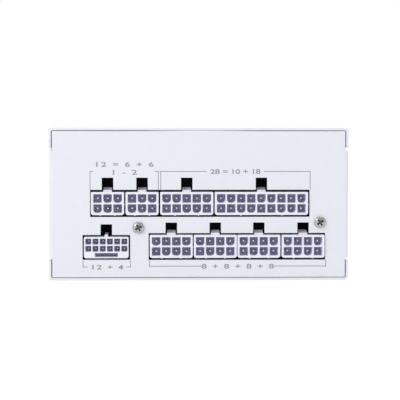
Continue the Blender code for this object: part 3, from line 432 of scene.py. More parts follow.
def terminals(x, z, kinds):
    """Return (x, z, kind) for each terminal of a two-row header."""
    left = x - (len(kinds[0]) - 1) * PITCH / 2
    spots = []
    for row, row_z in zip(kinds, (z + PITCH / 2, z - PITCH / 2)):
        for k, kind in enumerate(row):
            spots.append((left + k * PITCH, row_z, kind))
    return spots


def catch_ramp(name, face, top, peak, x, half):
    """The ramped ledge that a plug's latch snaps over."""
    bm = bmesh.new()
    wedge = ((face + 0.8, top - 0.5), (face + 0.8, top + 0.8), (face + 2.8, top + 0.9),
             (face + 4.4, peak), (face + 5.6, peak), (face + 5.6, top - 0.5))
    add_prism(bm, wedge, x - half, x + half, "X")
    return bevel(add_mesh(name, bm, NYLON), 0.12, 2)


def paint_cavity_glow(walls):
    """Give the walls inside a header's cavities the glowing cavity nylon, whose faint emission
    is painted light lifting their shade.
    """
    mesh = walls.data
    mesh.materials.append(NYLON_PAINTED_GLOW)
    glow_index = len(mesh.materials) - 1
    skin = 0.3 * MM
    xs = [vertex.co.x for vertex in mesh.vertices]
    zs = [vertex.co.z for vertex in mesh.vertices]
    left, right, bottom, top = min(xs), max(xs), min(zs), max(zs)
    for polygon in mesh.polygons:
        x, _, z = polygon.center
        inside = min(x - left, right - x, z - bottom, top - z) >= skin
        if inside and abs(polygon.normal.y) < 0.5:
            polygon.material_index = glow_index


def header_shell(name, low, high, top, holes, radii, edge):
    """A header's cavity walls and back wall; radii are its lower and upper corners."""
    lower, upper = radii
    rim = rounded(low.x, high.x, low.z, top, (lower, lower, upper, upper), 3)
    floor = low.y + CAVITY_DEPTH
    walls = plate(name + "_walls", [rim] + holes, low.y, floor, edge, NYLON)
    paint_cavity_glow(walls)
    inset = 0.1
    rim = rounded(low.x + inset, high.x - inset, low.z + inset, top - inset,
                  (lower, lower, upper - inset / 2, upper - inset / 2), 3)
    # The back wall takes the glowing cavity nylon too: painted light that lifts the shade at the
    # cavities' ends.
    back = bmesh.new()
    add_prism(back, rim, floor - inset, high.y)
    return [walls, add_mesh(name + "_back", back, NYLON_PAINTED_GLOW)]


def crush_ribs(name, low, high, centre_z):
    """The small ribs on a header's right side and underside."""
    outlines = [rounded(high.x - 0.1, high.x + 0.2, centre_z - 0.6, centre_z - 0.1,
                        (0.1, 0.14, 0.14, 0.1), 2)]
    for side in (-1, 1):
        x = (low.x + high.x) / 2 + side * (high.x - low.x) * 0.22
        outlines.append(rounded(x - 0.3, x + 0.3, low.z - 0.28, low.z + 0.1,
                                (0.18, 0.18, 0.05, 0.05), 2))
    front = low.y + 0.4
    back = low.y + 8
    ribs = bmesh.new()
    for outline in outlines:
        add_prism(ribs, outline, front, back)
    return add_mesh(name, ribs, NYLON)


def header_piece(name, kinds):
    """A moulded header: thin-walled cavities, back wall, latch catch and crush ribs."""
    low, high, mid = span(name)
    top = low.z + HOUSING_HEIGHT
    centre_z = low.z + HOUSING_HEIGHT / 2
    spots = terminals(mid.x, centre_z, kinds)
    holes = [cavity_outline(*spot) for spot in spots]
    parts = header_shell(name, low, high, top, holes, (1.0, 0.35), 0.13)
    parts.append(catch_ramp(name + "_catch", low.y, top, high.z, mid.x, 1.8))
    parts.append(crush_ribs(name + "_ribs", low, high, centre_z))
    ride(merge(name + "_housing", parts), "chassis", (name,))
    return spots


def gpu_header_piece():
    """The 12+4 header: twelve chamfered cavities over a slot for four sense pins."""
    low, high, mid = span(GPU_HEADER)
    top = low.z + 8.85
    rows = (low.z + 6.875, low.z + 3.875)
    sense_low, sense_high = low.z + 0.425, low.z + 2.125
    spots = [(mid.x + (k - 2.5) * GPU_PITCH, z) for z in rows for k in range(6)]
    half = 1.25
    holes = []
    for x, z in spots:
        holes.append(rounded(x - half, x + half, z - half, z + half, (0.45, 0.45, 0.2, 0.2), 2))
    holes.append(rounded(mid.x - 4.8, mid.x + 4.8, sense_low, sense_high,
                         (0.3, 0.3, 0.15, 0.15), 3))
    parts = header_shell("gpu", low, high, top, holes, (0.8, 0.45), 0.1)
    parts.append(catch_ramp("gpu_catch", low.y, top, high.z, mid.x, 0.7))
    piece = merge("gpu_header_16pin_housing", parts)
    ride(piece, "chassis", (GPU_HEADER,))
    sense_z = (sense_low + sense_high) / 2
    return spots, [(mid.x + (k - 1.5) * SENSE_PITCH, sense_z) for k in range(4)]


def add_pin(bm, x, z, half, tip, root):
    """Add one square terminal with a rounded, tapered tip."""
    rings = []
    for size, y in ((1.0, root), (1.0, tip + 0.9), (0.84, tip + 0.4), (0.5, tip)):
        reach = half * size
        square = rectangle(x - reach, x + reach, z - reach, z + reach)
        rings.append([bm.verts.new((u, y, v)) for u, v in square])
    bm.faces.new(rings[0])
    bm.faces.new(rings[-1])
    for lower, upper in zip(rings, rings[1:]):
        for k in range(4):
            j = (k + 1) % 4
            bm.faces.new((lower[k], lower[j], upper[j], upper[k]))


def connector_board(spots, gpu_spots, sense_spots):
    """The upright board, its terminal pins and their solder joints."""
    low, high, _ = span("modular_board")
    tip = low.y
    back = high.y
    root = back - 0.2
    power_spots = [(x, z) for x, z, _ in spots]
    pins = bmesh.new()
    for places, half, start in ((power_spots, POWER_PIN, tip), (gpu_spots, GPU_PIN, tip + 0.6),
                                (sense_spots, SENSE_PIN, tip)):
        for x, z in places:
            add_pin(pins, x, z, half, start, root)
    joints = bmesh.new()
    solder = ((0, -0.1), (1.1, -0.1), (0.95, 0.05), (0.45, 0.25), (0, 0.28))
    for x, z in power_spots + gpu_spots:
        turn = Matrix.Translation((x, back, z)) @ Matrix.Rotation(-math.pi / 2, 4, "X")
        add_turned(joints, solder, 12, turn)
    pin_piece = bevel(add_mesh("terminal_pins", pins, TIN, 20), 0.08, 2)
    ride(pin_piece, "chassis", ("modular_board",))
    ride(add_mesh("solder_joints", joints, TIN, 60), "chassis", ())
    outline = rounded(low.x, high.x, low.z, high.z, (1.5,) * 4)
    board = plate("connector_board", [outline], back - BOARD, back, 0.06, MASK_BLACK)
    ride(board, "chassis", ())


def ink_line(name, points, width=0.31):
    """A printed line on the connector face, along straight runs between (x, z) points."""
    bm = bmesh.new()
    half = width / 2
    for (u0, v0), (u1, v1) in zip(points, points[1:]):
        flat = rectangle(min(u0, u1) - half, max(u0, u1) + half,
                         min(v0, v1) - half, max(v0, v1) + half)
        add_prism(bm, flat, FACE - 0.025, FACE + 0.05)
    bmesh.ops.remove_doubles(bm, verts=bm.verts, dist=0.001)
    ride(add_mesh(name, bm, INK), "chassis", ())


def ink_text(name, text, x, z, stretch, spread):
    """Printed digits centred on x, standing on the height z."""
    curve = bpy.data.curves.new(name, "FONT")
    curve.body = text
    curve.size = DIGIT_HEIGHT * FONT_PER_DIGIT * MM
    curve.align_x = "CENTER"
    curve.space_character = spread
    curve.extrude = 0.02 * MM
    curve.offset = 0.06 * MM
    curve.materials.append(INK)
    made = add_object(name, curve)
    made.location = (x * MM, (FACE - 0.008) * MM, z * MM)
    made.rotation_euler = (math.pi / 2, 0, 0)
    made.scale = (stretch, 1, 1)
    ride(made, "chassis", ())


def printed_marks():
    """The bracket lines that tie headers into groups, with pin counts in place of captions."""
    top_line = 45.4
    top_ends = 38.0
    left_line = 5.6
    right_line = 5.85
    low_ends = 8.2
    brackets = {
        "a_left": [(-45.3, top_ends), (-45.3, top_line), (-44.1, top_line)],
        "a_right": [(-18.3, top_line), (-16.95, top_line), (-16.95, top_ends)],
        "b_left": [(-15.9, top_ends), (-15.9, top_line), (3.1, top_line)],
        "b_right": [(27.2, top_line), (46.4, top_line), (46.4, top_ends)],
        "c_left": [(-48.3, low_ends), (-48.3, left_line), (-46.4, left_line)],
        "c_right": [(-30.2, left_line), (-28.6, left_line), (-28.6, low_ends)],
        "d_left": [(-20.6, low_ends), (-20.6, right_line), (0.9, right_line)],
        "d_right": [(31.5, right_line), (53.0, right_line), (53.0, low_ends)],
    }
    for name, points in brackets.items():
        ink_line("bracket_" + name, points)
    ink_text("count_a_top", "12 = 6 + 6", -31.2, 47.4, 1.6, 1.3)
    ink_text("count_a_low", "1 - 2", -31.2, 44.1, 1.6, 1.3)
    ink_text("count_b", "28 = 10 + 18", 15.2, 44.4, 1.45, 1.0)
    ink_text("count_c", "12 + 4", -38.4, 4.6, 1.6, 1.2)
    ink_text("count_d", "8 + 8 + 8 + 8", 16.2, 4.85, 1.6, 1.25)


# ---------------------------------------------------------------- screws

def screw_mesh(name, profile, reach, half, depth, finish, recess_finish_or_painted_shade):
    """Return a cross-recess screw's mesh; its seat is at z = 0 and it points down."""
    bm = bmesh.new()
    add_turned(bm, profile, 48)
    made = add_mesh(name, bm, finish, 30)
    top = profile[-1][1]
    tool = bmesh.new()
    rings = []
    for height, scale in ((top + 0.5, 1.12), (top - depth, 0.45)):
        a = reach * scale
        b = half * (0.6 + 0.4 * scale)
        cross = [(b, b), (b, a), (-b, a), (-b, b), (-a, b), (-a, -b),
                 (-b, -b), (-b, -a), (b, -a), (b, -b), (a, -b), (a, b)]
        rings.append([tool.verts.new((u, v, height)) for u, v in cross])
    mouth, floor = rings
    tool.faces.new(mouth)
    tool.faces.new(floor)
    for k in range(len(mouth)):
        j = (k + 1) % len(mouth)
        tool.faces.new((mouth[k], mouth[j], floor[j], floor[k]))
    # The recess faces take the cutter's material; on the face screws it is the dark zinc,
    # painted shade in the cross.
    cutter = add_mesh("recess", tool, recess_finish_or_painted_shade)
    modifier = made.modifiers.new("recess", "BOOLEAN")
    modifier.solver = "EXACT"
    modifier.material_mode = "TRANSFER"
    modifier.object = cutter
    depsgraph = bpy.context.evaluated_depsgraph_get()
    shaped = bpy.data.meshes.new_from_object(made.evaluated_get(depsgraph))
    bpy.data.objects.remove(cutter, do_unlink=True)
    bpy.data.objects.remove(made, do_unlink=True)
    shaped.shade_smooth()
    shaped.set_sharp_from_angle(angle=math.radians(30))
    return shaped


def place_screw(name, mesh, node, direction, turn):
    """Put a screw where its CAD node is, with its seat facing a direction."""
    low, high, mid = span(node)
    spots = {
        "-Y": ((mid.x, FACE, mid.z), Matrix.Rotation(math.pi / 2, 4, "X")),
        "+X": ((high.x, mid.y, mid.z), Matrix.Rotation(math.pi / 2, 4, "Y")),
        "-X": ((low.x, mid.y, mid.z), Matrix.Rotation(-math.pi / 2, 4, "Y")),
        "+Z": ((mid.x, mid.y, high.z), Matrix()),
    }
    where, aim = spots[direction]
    made = add_object(name, mesh)
    spin = Matrix.Rotation(turn, 4, "Z")
    made.matrix_world = Matrix.Translation(Vector(where) * MM) @ aim @ spin
    ride(made, "chassis", (node,))


def screws():
    """All the screws that show, each with its own turn of the driver recess."""
    pan = ((0, -7), (1.2, -7), (1.45, -6.3), (1.45, 0), (2.42, 0.02), (2.46, 0.25),
           (2.4, 0.6), (2.1, 0.95), (1.5, 1.2), (0.8, 1.3), (0, 1.32))
    flat = ((0, -5), (1.2, -5), (1.45, -4.3), (1.45, -1.0), (2.62, -0.1), (2.7, -0.04),
            (2.6, 0), (0, 0))
    wide = ((0, -12), (1.3, -12), (1.9, -10.5), (1.9, -1.2), (3.7, -0.1), (3.78, -0.04),
            (3.65, 0), (0, 0))
    # The face screws' recesses take the dark zinc, painted shade in the cross.
    face = screw_mesh("face_screw_detail", pan, 1.7, 0.42, 1.2, ZINC, ZINC_PAINTED_SHADE)
    place_screw("face_screw_left", face, "face_screw_1", "-Y", 0.5)
    place_screw("face_screw_right", face, "face_screw_2", "-Y", 0.62)
    case = screw_mesh("case_screw_detail", flat, 1.35, 0.34, 1.0, POWDER, POWDER)
    for index, side in enumerate(("-X", "+X", "-X", "+X"), 1):
        place_screw(f"case_screw_head_{index}", case, f"case_screw_{index}", side, 0.3 * index)
    fan = screw_mesh("fan_screw_detail", wide, 1.9, 0.45, 1.3, POWDER, POWDER)
    for index in range(1, 5):
        place_screw(f"fan_screw_head_{index}", fan, f"fan_screw_{index}", "+Z", 0.4 * index)


# ---------------------------------------------------------------- fan

GUARD_OUTER = 42.6
GUARD_PITCH = 5.6
GUARD_RINGS = 7
GUARD_WIRE = 0.6
GUARD_EYE = 3.3
FAN_HOLE = 41.25
FAN_BORE = 44.2
FLANGE = 3.0
HUB = 18.0
HUB_TOP = 13.5
BLADE_TIP = 43.0
BLADES = 9
BLADE_BASE = 7.4
# A blade's pitch and chord at the root, and their change towards the tip.
BLADE_PITCH = 38
BLADE_TWIST = 14
BLADE_CHORD = 12
BLADE_WIDENING = 13
BLADE_SWEEP = 0.4
BLADE_BOW = 1.4
BLADE_THICKNESS = 1.1
BLADE_EDGE = 0.25
BLADE_ROWS = 10
BLADE_COLUMNS = 10


def corners():
    """Return the fan's four screw places."""
    ways = (-FAN_HOLE, FAN_HOLE)
    return [(FAN_MID.x + u, FAN_MID.y + v) for u in ways for v in ways]


def ring_points(x, y, z, radius, steps):
    """Return points round a level circle."""
    return [(u, v, z) for u, v in arc(x, y, radius, 0, 360, steps)[:-1]]


def fan_guard_piece():
    """The guard of round wire: seven rings welded on two diagonals that end in screw eyes."""
    low, high, mid = span("fan_guard")
    under = low.z + GUARD_WIRE
    over = high.z - GUARD_WIRE
    wires = []
    for k in range(GUARD_RINGS):
        ring = ring_points(mid.x, mid.y, over, GUARD_OUTER - k * GUARD_PITCH, 96)
        wires.append(tube(f"guard_ring_{k}", ring, GUARD_WIRE, POWDER, True, 3))
    reach = FAN_HOLE - GUARD_EYE / math.sqrt(2)
    for way in (-1, 1):
        ends = [(mid.x - reach, mid.y - way * reach, under),
                (mid.x + reach, mid.y + way * reach, under)]
        wires.append(tube(f"guard_spoke_{way}", ends, GUARD_WIRE, POWDER, False, 3))
    for index, (x, y) in enumerate(corners()):
        eye = ring_points(x, y, under, GUARD_EYE, 32)
        wires.append(tube(f"guard_eye_{index}", eye, GUARD_WIRE, POWDER, True, 3))
    ride(merge("fan_guard_wires", wires), "chassis", ("fan_guard",))


def blade_grid(start, base, side):
    """Return one face of a blade as rows of points, side +1 above and -1 below."""
    rows = []
    root = HUB - 0.7
    for i in range(BLADE_ROWS + 1):
        t = i / BLADE_ROWS
        radius = root + t * (BLADE_TIP - root)
        pitch = math.radians(BLADE_PITCH - BLADE_TWIST * t)
        rounding = 1 - 0.16 * max(0, (t - 0.8) / 0.2) ** 2
        chord = (BLADE_CHORD + BLADE_WIDENING * t) * rounding
        row = []
        for j in range(BLADE_COLUMNS + 1):
            along = j / BLADE_COLUMNS - 0.5
            bow = BLADE_BOW * (1 - 4 * along * along)
            thick = BLADE_THICKNESS * (1 - 0.5 * t) * (1 - (2 * abs(along)) ** 3) + BLADE_EDGE
            angle = start + BLADE_SWEEP * t + along * chord * math.cos(pitch) / radius
            height = base + along * chord * math.sin(pitch) + bow + side * thick / 2
            row.append((radius * math.cos(angle), radius * math.sin(angle), height))
        rows.append(row)
    return rows


def add_blade(bm, start, base):
    """Add one closed blade: an upper face, a lower face and the rim between them."""
    rims = []
    for side in (1, -1):
        rows = blade_grid(start, base, side)
        grid = [[bm.verts.new(point) for point in row] for row in rows]
        for lower, upper in zip(grid, grid[1:]):
            for j in range(BLADE_COLUMNS):
                bm.faces.new((lower[j], lower[j + 1], upper[j + 1], upper[j]))
        rim = grid[0] + [row[-1] for row in grid[1:]]
        rim += grid[-1][-2::-1] + [row[0] for row in grid[-2:0:-1]]
        rims.append(rim)
    upper, lower = rims
    for j, vertex in enumerate(upper):
        i = (j + 1) % len(upper)
        bm.faces.new((vertex, upper[i], lower[i], lower[j]))


def fan_rotor_piece():
    """The hub cup with its blades, and the plain disc stuck on the hub."""
    hub = bmesh.new()
    cup = ((0, 12.9), (1.25, 12.9), (1.25, 12.0), (16.4, 12.0), (16.6, 11.8), (16.6, 2.4),
           (16.8, 2.2), (17.8, 2.2), (HUB, 2.4), (HUB, 12.2), (17.85, 12.8), (17.45, 13.25),
           (16.9, HUB_TOP), (16.2, 13.6), (14.6, 13.6), (14.4, 13.45), (0, 13.45))
    add_turned(hub, cup, 72)
    blades = bmesh.new()
    for blade in range(BLADES):
        add_blade(blades, math.tau * blade / BLADES, BLADE_BASE)
    wheel = merge("fan_wheel_moulding", [add_mesh("hub", hub, FAN_BLACK, 40),
                                         add_mesh("blades", blades, FAN_BLACK, 50)])
    wheel.location = (FAN_MID.x * MM, FAN_MID.y * MM, FAN_LOW.z * MM)
    ride(wheel, "fan_wheel", ("fan_rotor",))
    disc = bmesh.new()
    face = ((0, 13.4), (14.1, 13.4), (14.1, HUB_TOP), (14.0, 13.53), (0, 13.53))
    add_turned(disc, face, 72)
    for inner, outer in ((12.6, 13.2), (4.0, 4.4)):
        band = rectangle(inner, outer, HUB_TOP, 13.56)
        add_turned(disc, band + band[:1], 72)
    sticker = add_mesh("fan_hub_disc", disc, STICKER, 30)
    sticker.location = wheel.location
    ride(sticker, "fan_wheel", ())


def fan_frame_piece():
    """The fan's frame: two flanges on a round wall, the motor seat and the struts."""
    low, high, mid = FAN_LOW, FAN_HIGH, FAN_MID
    rim = rounded(low.x, high.x, low.y, high.y, (5.0,) * 4, 8)
    holes = [arc(mid.x, mid.y, FAN_BORE, 0, 360, 96)[:-1]]
    holes += [arc(x, y, 2.3, 0, 360, 24)[:-1] for x, y in corners()]
    parts = []
    for name, bottom in (("upper", high.z - FLANGE), ("lower", low.z)):
        parts.append(plate("fan_flange_" + name, [rim] + holes, bottom, bottom + FLANGE, 0.4,
                           FAN_BLACK, "Z"))
    place = Matrix.Translation((mid.x, mid.y, low.z))
    wall = bmesh.new()
    section = rectangle(FAN_BORE, FAN_BORE + 1.5, 0.6, high.z - low.z - 0.6)
    add_turned(wall, section + section[:1], 96, place)
    parts.append(add_mesh("fan_wall", wall, FAN_BLACK, 40))
    seat = bmesh.new()
    cup = ((1.8, 0.0), (HUB + 0.7, 0.0), (HUB + 1, 0.3), (HUB + 1, 1.3), (HUB + 0.7, 1.6),
           (3.9, 1.6), (3.6, 1.9), (3.6, 8.8), (3.4, 9.0), (1.8, 9.0), (1.8, 0.0))
    add_turned(seat, cup, 72, place)
    parts.append(add_mesh("motor_seat", seat, FAN_BLACK, 40))
    strut = rectangle(HUB, FAN_BORE + 0.5, -1.5, 1.5)
    struts = quarter_copies(strut, 0.1, 1.5, place)
    parts.append(bevel(add_mesh("fan_struts", struts, FAN_BLACK, 40), 0.3, 2))
    ride(merge("fan_frame_moulding", parts), "chassis", ("fan_frame",))


# ---------------------------------------------------------------- mains face

# Where the flanges of the inlet and the switch stand on the outside of the case.
FLANGE_SEAT = REAR + 0.3


def inlet_piece():
    """The appliance inlet: a flange round a keyed socket with a slotted floor."""
    low, high, mid = span("ac_inlet")
    x, z = mid.x, mid.z
    flange = rounded(low.x, high.x, low.z, high.z, (2.0,) * 4, 6)
    key = [(-12.2, 7.7), (-12.2, -3.9), (-8.0, -8.2), (8.0, -8.2),
           (12.2, -3.9), (12.2, 7.7), (11.7, 8.2), (-11.7, 8.2)]
    case = [(-14, 10.5), (-14, -7.5), (-11, -10.5), (11, -10.5), (14, -7.5), (14, 10.5)]
    socket = [(x + u, z + v) for u, v in key]
    body = [(x + u, z + v) for u, v in case]
    lip = [(x + u * 1.06, z + v * 1.09) for u, v in key]
    slot_x, slot_z = 1.3, 2.3
    slots = []
    for node in ("inlet_live_blade", "inlet_neutral_blade", "inlet_earth_blade"):
        blade = span(node)[2]
        slots.append(rectangle(blade.x - slot_x, blade.x + slot_x,
                               blade.z - slot_z, blade.z + slot_z))
    floor = REAR - 14.0
    parts = [
        plate("inlet_flange", [flange, socket], FLANGE_SEAT, high.y - 0.5, 0.35, BLACK_MOULD),
        plate("inlet_lip", [lip, socket], high.y - 1.5, high.y, 0.3, BLACK_MOULD),
        plate("inlet_walls", [body, socket], floor, FLANGE_SEAT + 0.4, 0.1, BLACK_MOULD),
        plate("inlet_floor", [body] + slots, low.y, floor + 0.1, 0.1, BLACK_MOULD),
    ]
    ride(merge("ac_inlet_moulding", parts), "chassis", ("ac_inlet",))


# The rocker's half height, its face's distance from the pivot at the middle, how much
# further out its two ends are, its lean at rest in degrees, and each mark's height.
ROCKER_REACH = 8.1
ROCKER_HEIGHT = 3.0
ROCKER_DISH = 1.55
ROCKER_REST = -8
MARK_AT = 4.6


def rocker_face(along):
    """Return how far the rocker's hollow face stands out, at a height along it."""
    return ROCKER_HEIGHT + ROCKER_DISH * (along / ROCKER_REACH) ** 2


def bezel_piece():
    """The switch's bezel and the well behind it."""
    low, high, mid = span("switch_bezel")
    x, z = mid.x, mid.z
    rim = rounded(low.x, high.x, low.z, high.z, (1.2,) * 4, 5)
    well_x, well_z = 5.4, 8.6
    body_x, body_z = 6.5, 9.5
    well = rounded(x - well_x, x + well_x, z - well_z, z + well_z, (0.4,) * 4, 3)
    body = rectangle(x - body_x, x + body_x, z - body_z, z + body_z)
    floor = REAR - 9.0
    parts = [
        plate("bezel_flange", [rim, well], FLANGE_SEAT, high.y, 0.4, BLACK_MOULD),
        plate("bezel_walls", [body, well], floor, FLANGE_SEAT + 0.4, 0.1, BLACK_MOULD),
        plate("bezel_floor", [body], low.y, floor + 0.1, 0.1, BLACK_MOULD),
    ]
    ride(merge("switch_bezel_moulding", parts), "chassis", ("switch_bezel",))


def rocker_pieces():
    """The rocker on its trunnions, with its bar and ring marks."""
    mid = span("switch_bezel")[2]
    pivot = (Matrix.Translation(Vector((mid.x, REAR - 0.9, mid.z)) * MM)
             @ Matrix.Rotation(math.radians(ROCKER_REST), 4, "X"))
    steps = 14
    section = []
    for k in range(steps + 1):
        along = ROCKER_REACH * (2 * k / steps - 1)
        section.append((rocker_face(along), along))
    section += [(1.0, 8.0), (-4.0, 3.0), (-4.0, -3.0), (1.0, -8.0)]
    key = bmesh.new()
    add_prism(key, section, -5.0, 5.0, "X")
    key_piece = bevel(add_mesh("rocker_key", key, BLACK_SMOOTH, 30), 0.35, 3, 50)
    trunnion = bmesh.new()
    pin = ((0, -5.35), (1.0, -5.35), (1.2, -5.2), (1.2, 5.2), (1.0, 5.35), (0, 5.35))
    add_turned(trunnion, pin, 32, Matrix.Rotation(math.pi / 2, 4, "Y"))
    trunnion_piece = add_mesh("rocker_trunnion", trunnion, BLACK_SMOOTH)
    rocker = merge("rocker_moulding", [key_piece, trunnion_piece])
    rocker.matrix_world = pivot
    ride(rocker, "power_rocker", ("switch_rocker",))

    lean = math.atan(2 * ROCKER_DISH * MARK_AT / ROCKER_REACH ** 2)
    bar = bmesh.new()
    add_prism(bar, rounded(-0.28, 0.28, -1.4, 1.4, (0.1,) * 4, 3), -0.05, 0.1, "Z")
    ring = bmesh.new()
    band = rectangle(0.95, 1.45, -0.05, 0.1)
    add_turned(ring, band + band[:1], 40)
    for name, bm, way in (("rocker_mark_on", bar, -1), ("rocker_mark_off", ring, 1)):
        mark = add_mesh(name, bm, WHITE_INK, 30)
        spot = Vector((0, rocker_face(MARK_AT), way * MARK_AT)) * MM
        mark.matrix_world = (pivot @ Matrix.Translation(spot)
                             @ Matrix.Rotation(-math.pi / 2 - way * lean, 4, "X"))
        ride(mark, "power_rocker", ())


# ---------------------------------------------------------------- inner parts

def wound_ring(name, node, tube_radius, wire, turns, halves, finish):
    """A ferrite ring with its winding of round wire; halves leaves two bare gaps."""
    low, high, mid = span(node)
    ring = (high.x - low.x) / 2 - tube_radius
    core = bmesh.new()
    core_radius = tube_radius - 2 * wire - 0.1
    add_turned(core, arc(ring, 0, core_radius, 0, 360, 20), 64, Matrix.Translation(mid))
    bmesh.ops.remove_doubles(core, verts=core.verts, dist=0.001)
    parts = [add_mesh(name + "_core", core, FERRITE, 60)]
    reach = tube_radius - wire - 0.05
    per_turn = 14
    arcs = ((-75, 75), (105, 255)) if halves else ((0, 360),)
    count = int(turns / len(arcs)) * per_turn
    for index, (start, end) in enumerate(arcs):
        points = []
        for k in range(count + 1):
            around = math.radians(start + (end - start) * k / count)
            winding = math.tau * k / per_turn
            radius = ring + reach * math.cos(winding)
            points.append((mid.x + radius * math.cos(around),
                           mid.y + radius * math.sin(around),
                           mid.z + reach * math.sin(winding)))
        parts.append(tube(f"{name}_winding_{index}", points, wire, finish, False, 2))
    ride(merge(name, parts), "chassis", (node,))


def can_piece(name, node):
    """An electrolytic capacitor: sleeve, crimp groove and a scored aluminium top."""
    low, high, mid = span(node)
    radius = (high.y - low.y) / 2
    height = high.z - low.z
    place = Matrix.Translation((mid.x, mid.y, low.z))
    sleeve = bmesh.new()
    groove = [(0.3, 0), (0, 0.3), (0, 2.2), (0.5, 2.7), (0.65, 3.0), (0.5, 3.3), (0, 3.8)]
    shoulder = [(0, 0.9), (0.25, 0.3), (0.9, 0), (1.3, 0.05), (1.4, 0.4)]
    profile = [(0, 0)] + [(radius - inset, rise) for inset, rise in groove]
    profile += [(radius - inset, height - drop) for inset, drop in shoulder]
    profile.append((0, height - 0.4))
    add_turned(sleeve, profile, 64, place)
    parts = [add_mesh(name + "_sleeve", sleeve, SLEEVE, 40)]
    reach = radius - 1.6
    start = 0.25
    sector = [(start, start), (reach * 0.96, start)]
    sector += arc(0, 0, reach, 4, 86, 10) + [(start, reach * 0.96)]
    top = quarter_copies(sector, height - 0.5, height - 0.2, place)
    parts.append(bevel(add_mesh(name + "_top", top, ALUMINIUM, 30), 0.08, 2))
    ride(merge(name, parts), "chassis", (node,))


def inner_parts():
    """The parts that show through the vents and the fan."""
    wound_ring("common_mode_choke_wound", "common_mode_choke", 3.6, 0.45, 34, True, COPPER)
    wound_ring("pfc_choke_wound", "pfc_choke", 5.2, 0.6, 42, False, COPPER)
    can_piece("bulk_capacitor_can", "bulk_capacitor")
    can_piece("output_capacitor_can_1", "output_capacitor_1")
    can_piece("output_capacitor_can_2", "output_capacitor_2")


# ---------------------------------------------------------------- view and floor

FLOOR_RADIUS = 20000.0
FLOOR_DROP = 0.2
FLOOR_TONE = (0.3, 0.34)
# The floor's glow, and the distances in metres at which it starts and stops rising.
GLOW = (0.74, 0.86)
GLOW_REACH = (0.4, 1.6)
AMBIENT = 0.64
CAMERA_AT = (-12.0, FACE - 500.0, 50.0)
CAMERA_TARGET = (0.42, FACE, 33.5)
CAMERA_WIDTH = 166.67


def floor_material():
    """A matt white floor that glows enough to lose the unit's shadow, more so far from it."""
    made = bpy.data.materials.new("floor_paint")
    made.use_nodes = True
    tree = made.node_tree
    shader = tree.nodes["Principled BSDF"]
    shader.inputs["Roughness"].default_value = 0.9
    shader.inputs["Specular IOR Level"].default_value = 0.0
    shader.inputs["Emission Color"].default_value = (1, 1, 1, 1)
    tone = map_range(tree, noise(tree, 30.0), (0.0, 1.0), FLOOR_TONE)
    link(tree, tone, shader.inputs["Base Color"])
    place = tree.nodes.new("ShaderNodeTexCoord")
    reach = tree.nodes.new("ShaderNodeVectorMath")
    reach.operation = "LENGTH"
    link(tree, place.outputs["Object"], reach.inputs[0])
    glow = map_range(tree, reach.outputs["Value"], GLOW_REACH, GLOW)
    link(tree, glow, shader.inputs["Emission Strength"])
    return made


def surround():
    """A white surround that lights the unit more softly than it looks."""
    world = bpy.data.worlds.new("studio")
    bpy.context.scene.world = world
    world.use_nodes = True
    tree = world.node_tree
    seen = tree.nodes["Background"]
    seen.inputs["Color"].default_value = (1, 1, 1, 1)
    seen.inputs["Strength"].default_value = 1.0
    ambient = tree.nodes.new("ShaderNodeBackground")
    ambient.inputs["Color"].default_value = (0.98, 0.99, 1.0, 1)
    ambient.inputs["Strength"].default_value = AMBIENT
    rays = tree.nodes.new("ShaderNodeLightPath")
    choose = tree.nodes.new("ShaderNodeMixShader")
    link(tree, rays.outputs["Is Camera Ray"], choose.inputs[0])
    link(tree, ambient.outputs["Background"], choose.inputs[1])
    link(tree, seen.outputs["Background"], choose.inputs[2])
    link(tree, choose.outputs["Shader"], tree.nodes["World Output"].inputs["Surface"])


def studio():
    """A pale floor, an even pale surround, soft lights and the camera."""
    scene = bpy.context.scene
    scene.view_settings.view_transform = "Standard"
    surround()
    bm = bmesh.new()
    bmesh.ops.create_circle(bm, cap_ends=True, radius=FLOOR_RADIUS, segments=96)
    floor = add_mesh("floor", bm, floor_material())
    floor.location.z = -FLOOR_DROP * MM

    add_area("key", (-0.55, -0.5, 0.5), 0.35, 1.9)
    add_area("fill", (0.9, -0.9, 0.5), 0.9, 0.2)
    add_area("top", (0.1, 0.3, 1.5), 1.2, 6.5)
    add_area("back", (0.6, 1.4, 0.9), 1.0, 4.5)

    add_camera(CAMERA_AT, CAMERA_TARGET, CAMERA_WIDTH)


def add_camera(place, target, frame_width):
    """Aim the camera; frame_width is how many millimetres it sees across at the target."""
    camera_data = bpy.data.cameras.new("camera")
    camera = add_object("camera", camera_data)
    sight = Vector(target) - Vector(place)
    camera_data.sensor_width = 36.0
    camera_data.lens = camera_data.sensor_width * sight.length / frame_width
    camera_data.clip_start = 0.01
    camera_data.clip_end = 50.0
    camera.location = Vector(place) * MM
    camera.rotation_euler = sight.to_track_quat("-Z", "Y").to_euler()
    bpy.context.scene.camera = camera


def add_area(name, location, size, power):
    """A square soft light aimed at the unit."""
    data = bpy.data.lights.new(name, "AREA")
    data.size = size
    data.energy = power
    lamp = add_object(name, data)
    lamp.location = location
    aim = Vector((0, 0, 0.03)) - Vector(location)
    lamp.rotation_euler = aim.to_track_quat("-Z", "Y").to_euler()


# ---------------------------------------------------------------- build

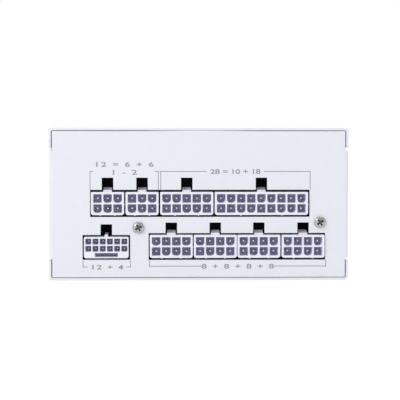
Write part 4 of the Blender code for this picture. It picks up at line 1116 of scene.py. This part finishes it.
CAD_FINISH = {
    "top_cover": POWDER, "bottom_tray": POWDER, "front_panel": POWDER,
    "modular_standoff_1": BRASS, "modular_standoff_2": BRASS,
    "board_screw_1": NICKEL, "board_screw_2": NICKEL,
    "board_screw_3": NICKEL, "board_screw_4": NICKEL,
    "fan_shaft": NICKEL, "fan_stator": COPPER, "fan_lead": BLACK_MOULD,
    "inlet_live_blade": NICKEL, "inlet_neutral_blade": NICKEL, "inlet_earth_blade": NICKEL,
    "main_board": MASK_BLACK, "insulation_sheet": FILM_CLEAR, "x_capacitor": FILM_YELLOW,
    "fuse": CERAMIC, "primary_heatsink": ALUMINIUM, "secondary_heatsink": ALUMINIUM,
    "bridge_rectifier": EPOXY, "main_transformer_core": FERRITE,
    "main_transformer_winding": TAPE, "standby_transformer": TAPE,
    "bus_bar_12v": TINNED, "bus_bar_ground": TINNED,
    "live_wire": WIRE_BROWN, "neutral_wire": WIRE_BLUE,
}

# The width, in millimetres, of the rounding on each node's edges.
CAD_EDGES = {
    "top_cover": 0.14, "bottom_tray": 0.14, "front_panel": 0.14,
    "main_board": 0.1, "primary_heatsink": 0.12, "secondary_heatsink": 0.12,
    "bus_bar_12v": 0.15, "bus_bar_ground": 0.15, "main_transformer_winding": 0.5,
    "inlet_live_blade": 0.2, "inlet_neutral_blade": 0.2, "inlet_earth_blade": 0.2,
    "modular_standoff_1": 0.15, "modular_standoff_2": 0.15,
}


def finish_cad_nodes():
    """Give each carried-over CAD node its material, smooth bends and rounded edges."""
    for name, finish in CAD_FINISH.items():
        made = NODES[name]
        made.data.materials.clear()
        made.data.materials.append(finish)
        made.data.shade_smooth()
        made.data.set_sharp_from_angle(angle=math.radians(35))
        if name in CAD_EDGES:
            flat = made.modifiers.new("flat", "DECIMATE")
            flat.decimate_type = "DISSOLVE"
            flat.angle_limit = math.radians(0.5)
            bevel(made, CAD_EDGES[name], 2, 40)


def build():
    """Make every visible piece."""
    finish_cad_nodes()
    spots = []
    for name, kinds in HEADER_KEYS.items():
        spots += header_piece(name, kinds)
    gpu_spots, sense_spots = gpu_header_piece()
    connector_board(spots, gpu_spots, sense_spots)
    printed_marks()
    screws()
    fan_guard_piece()
    fan_rotor_piece()
    fan_frame_piece()
    inlet_piece()
    bezel_piece()
    rocker_pieces()
    inner_parts()


studio()
build()
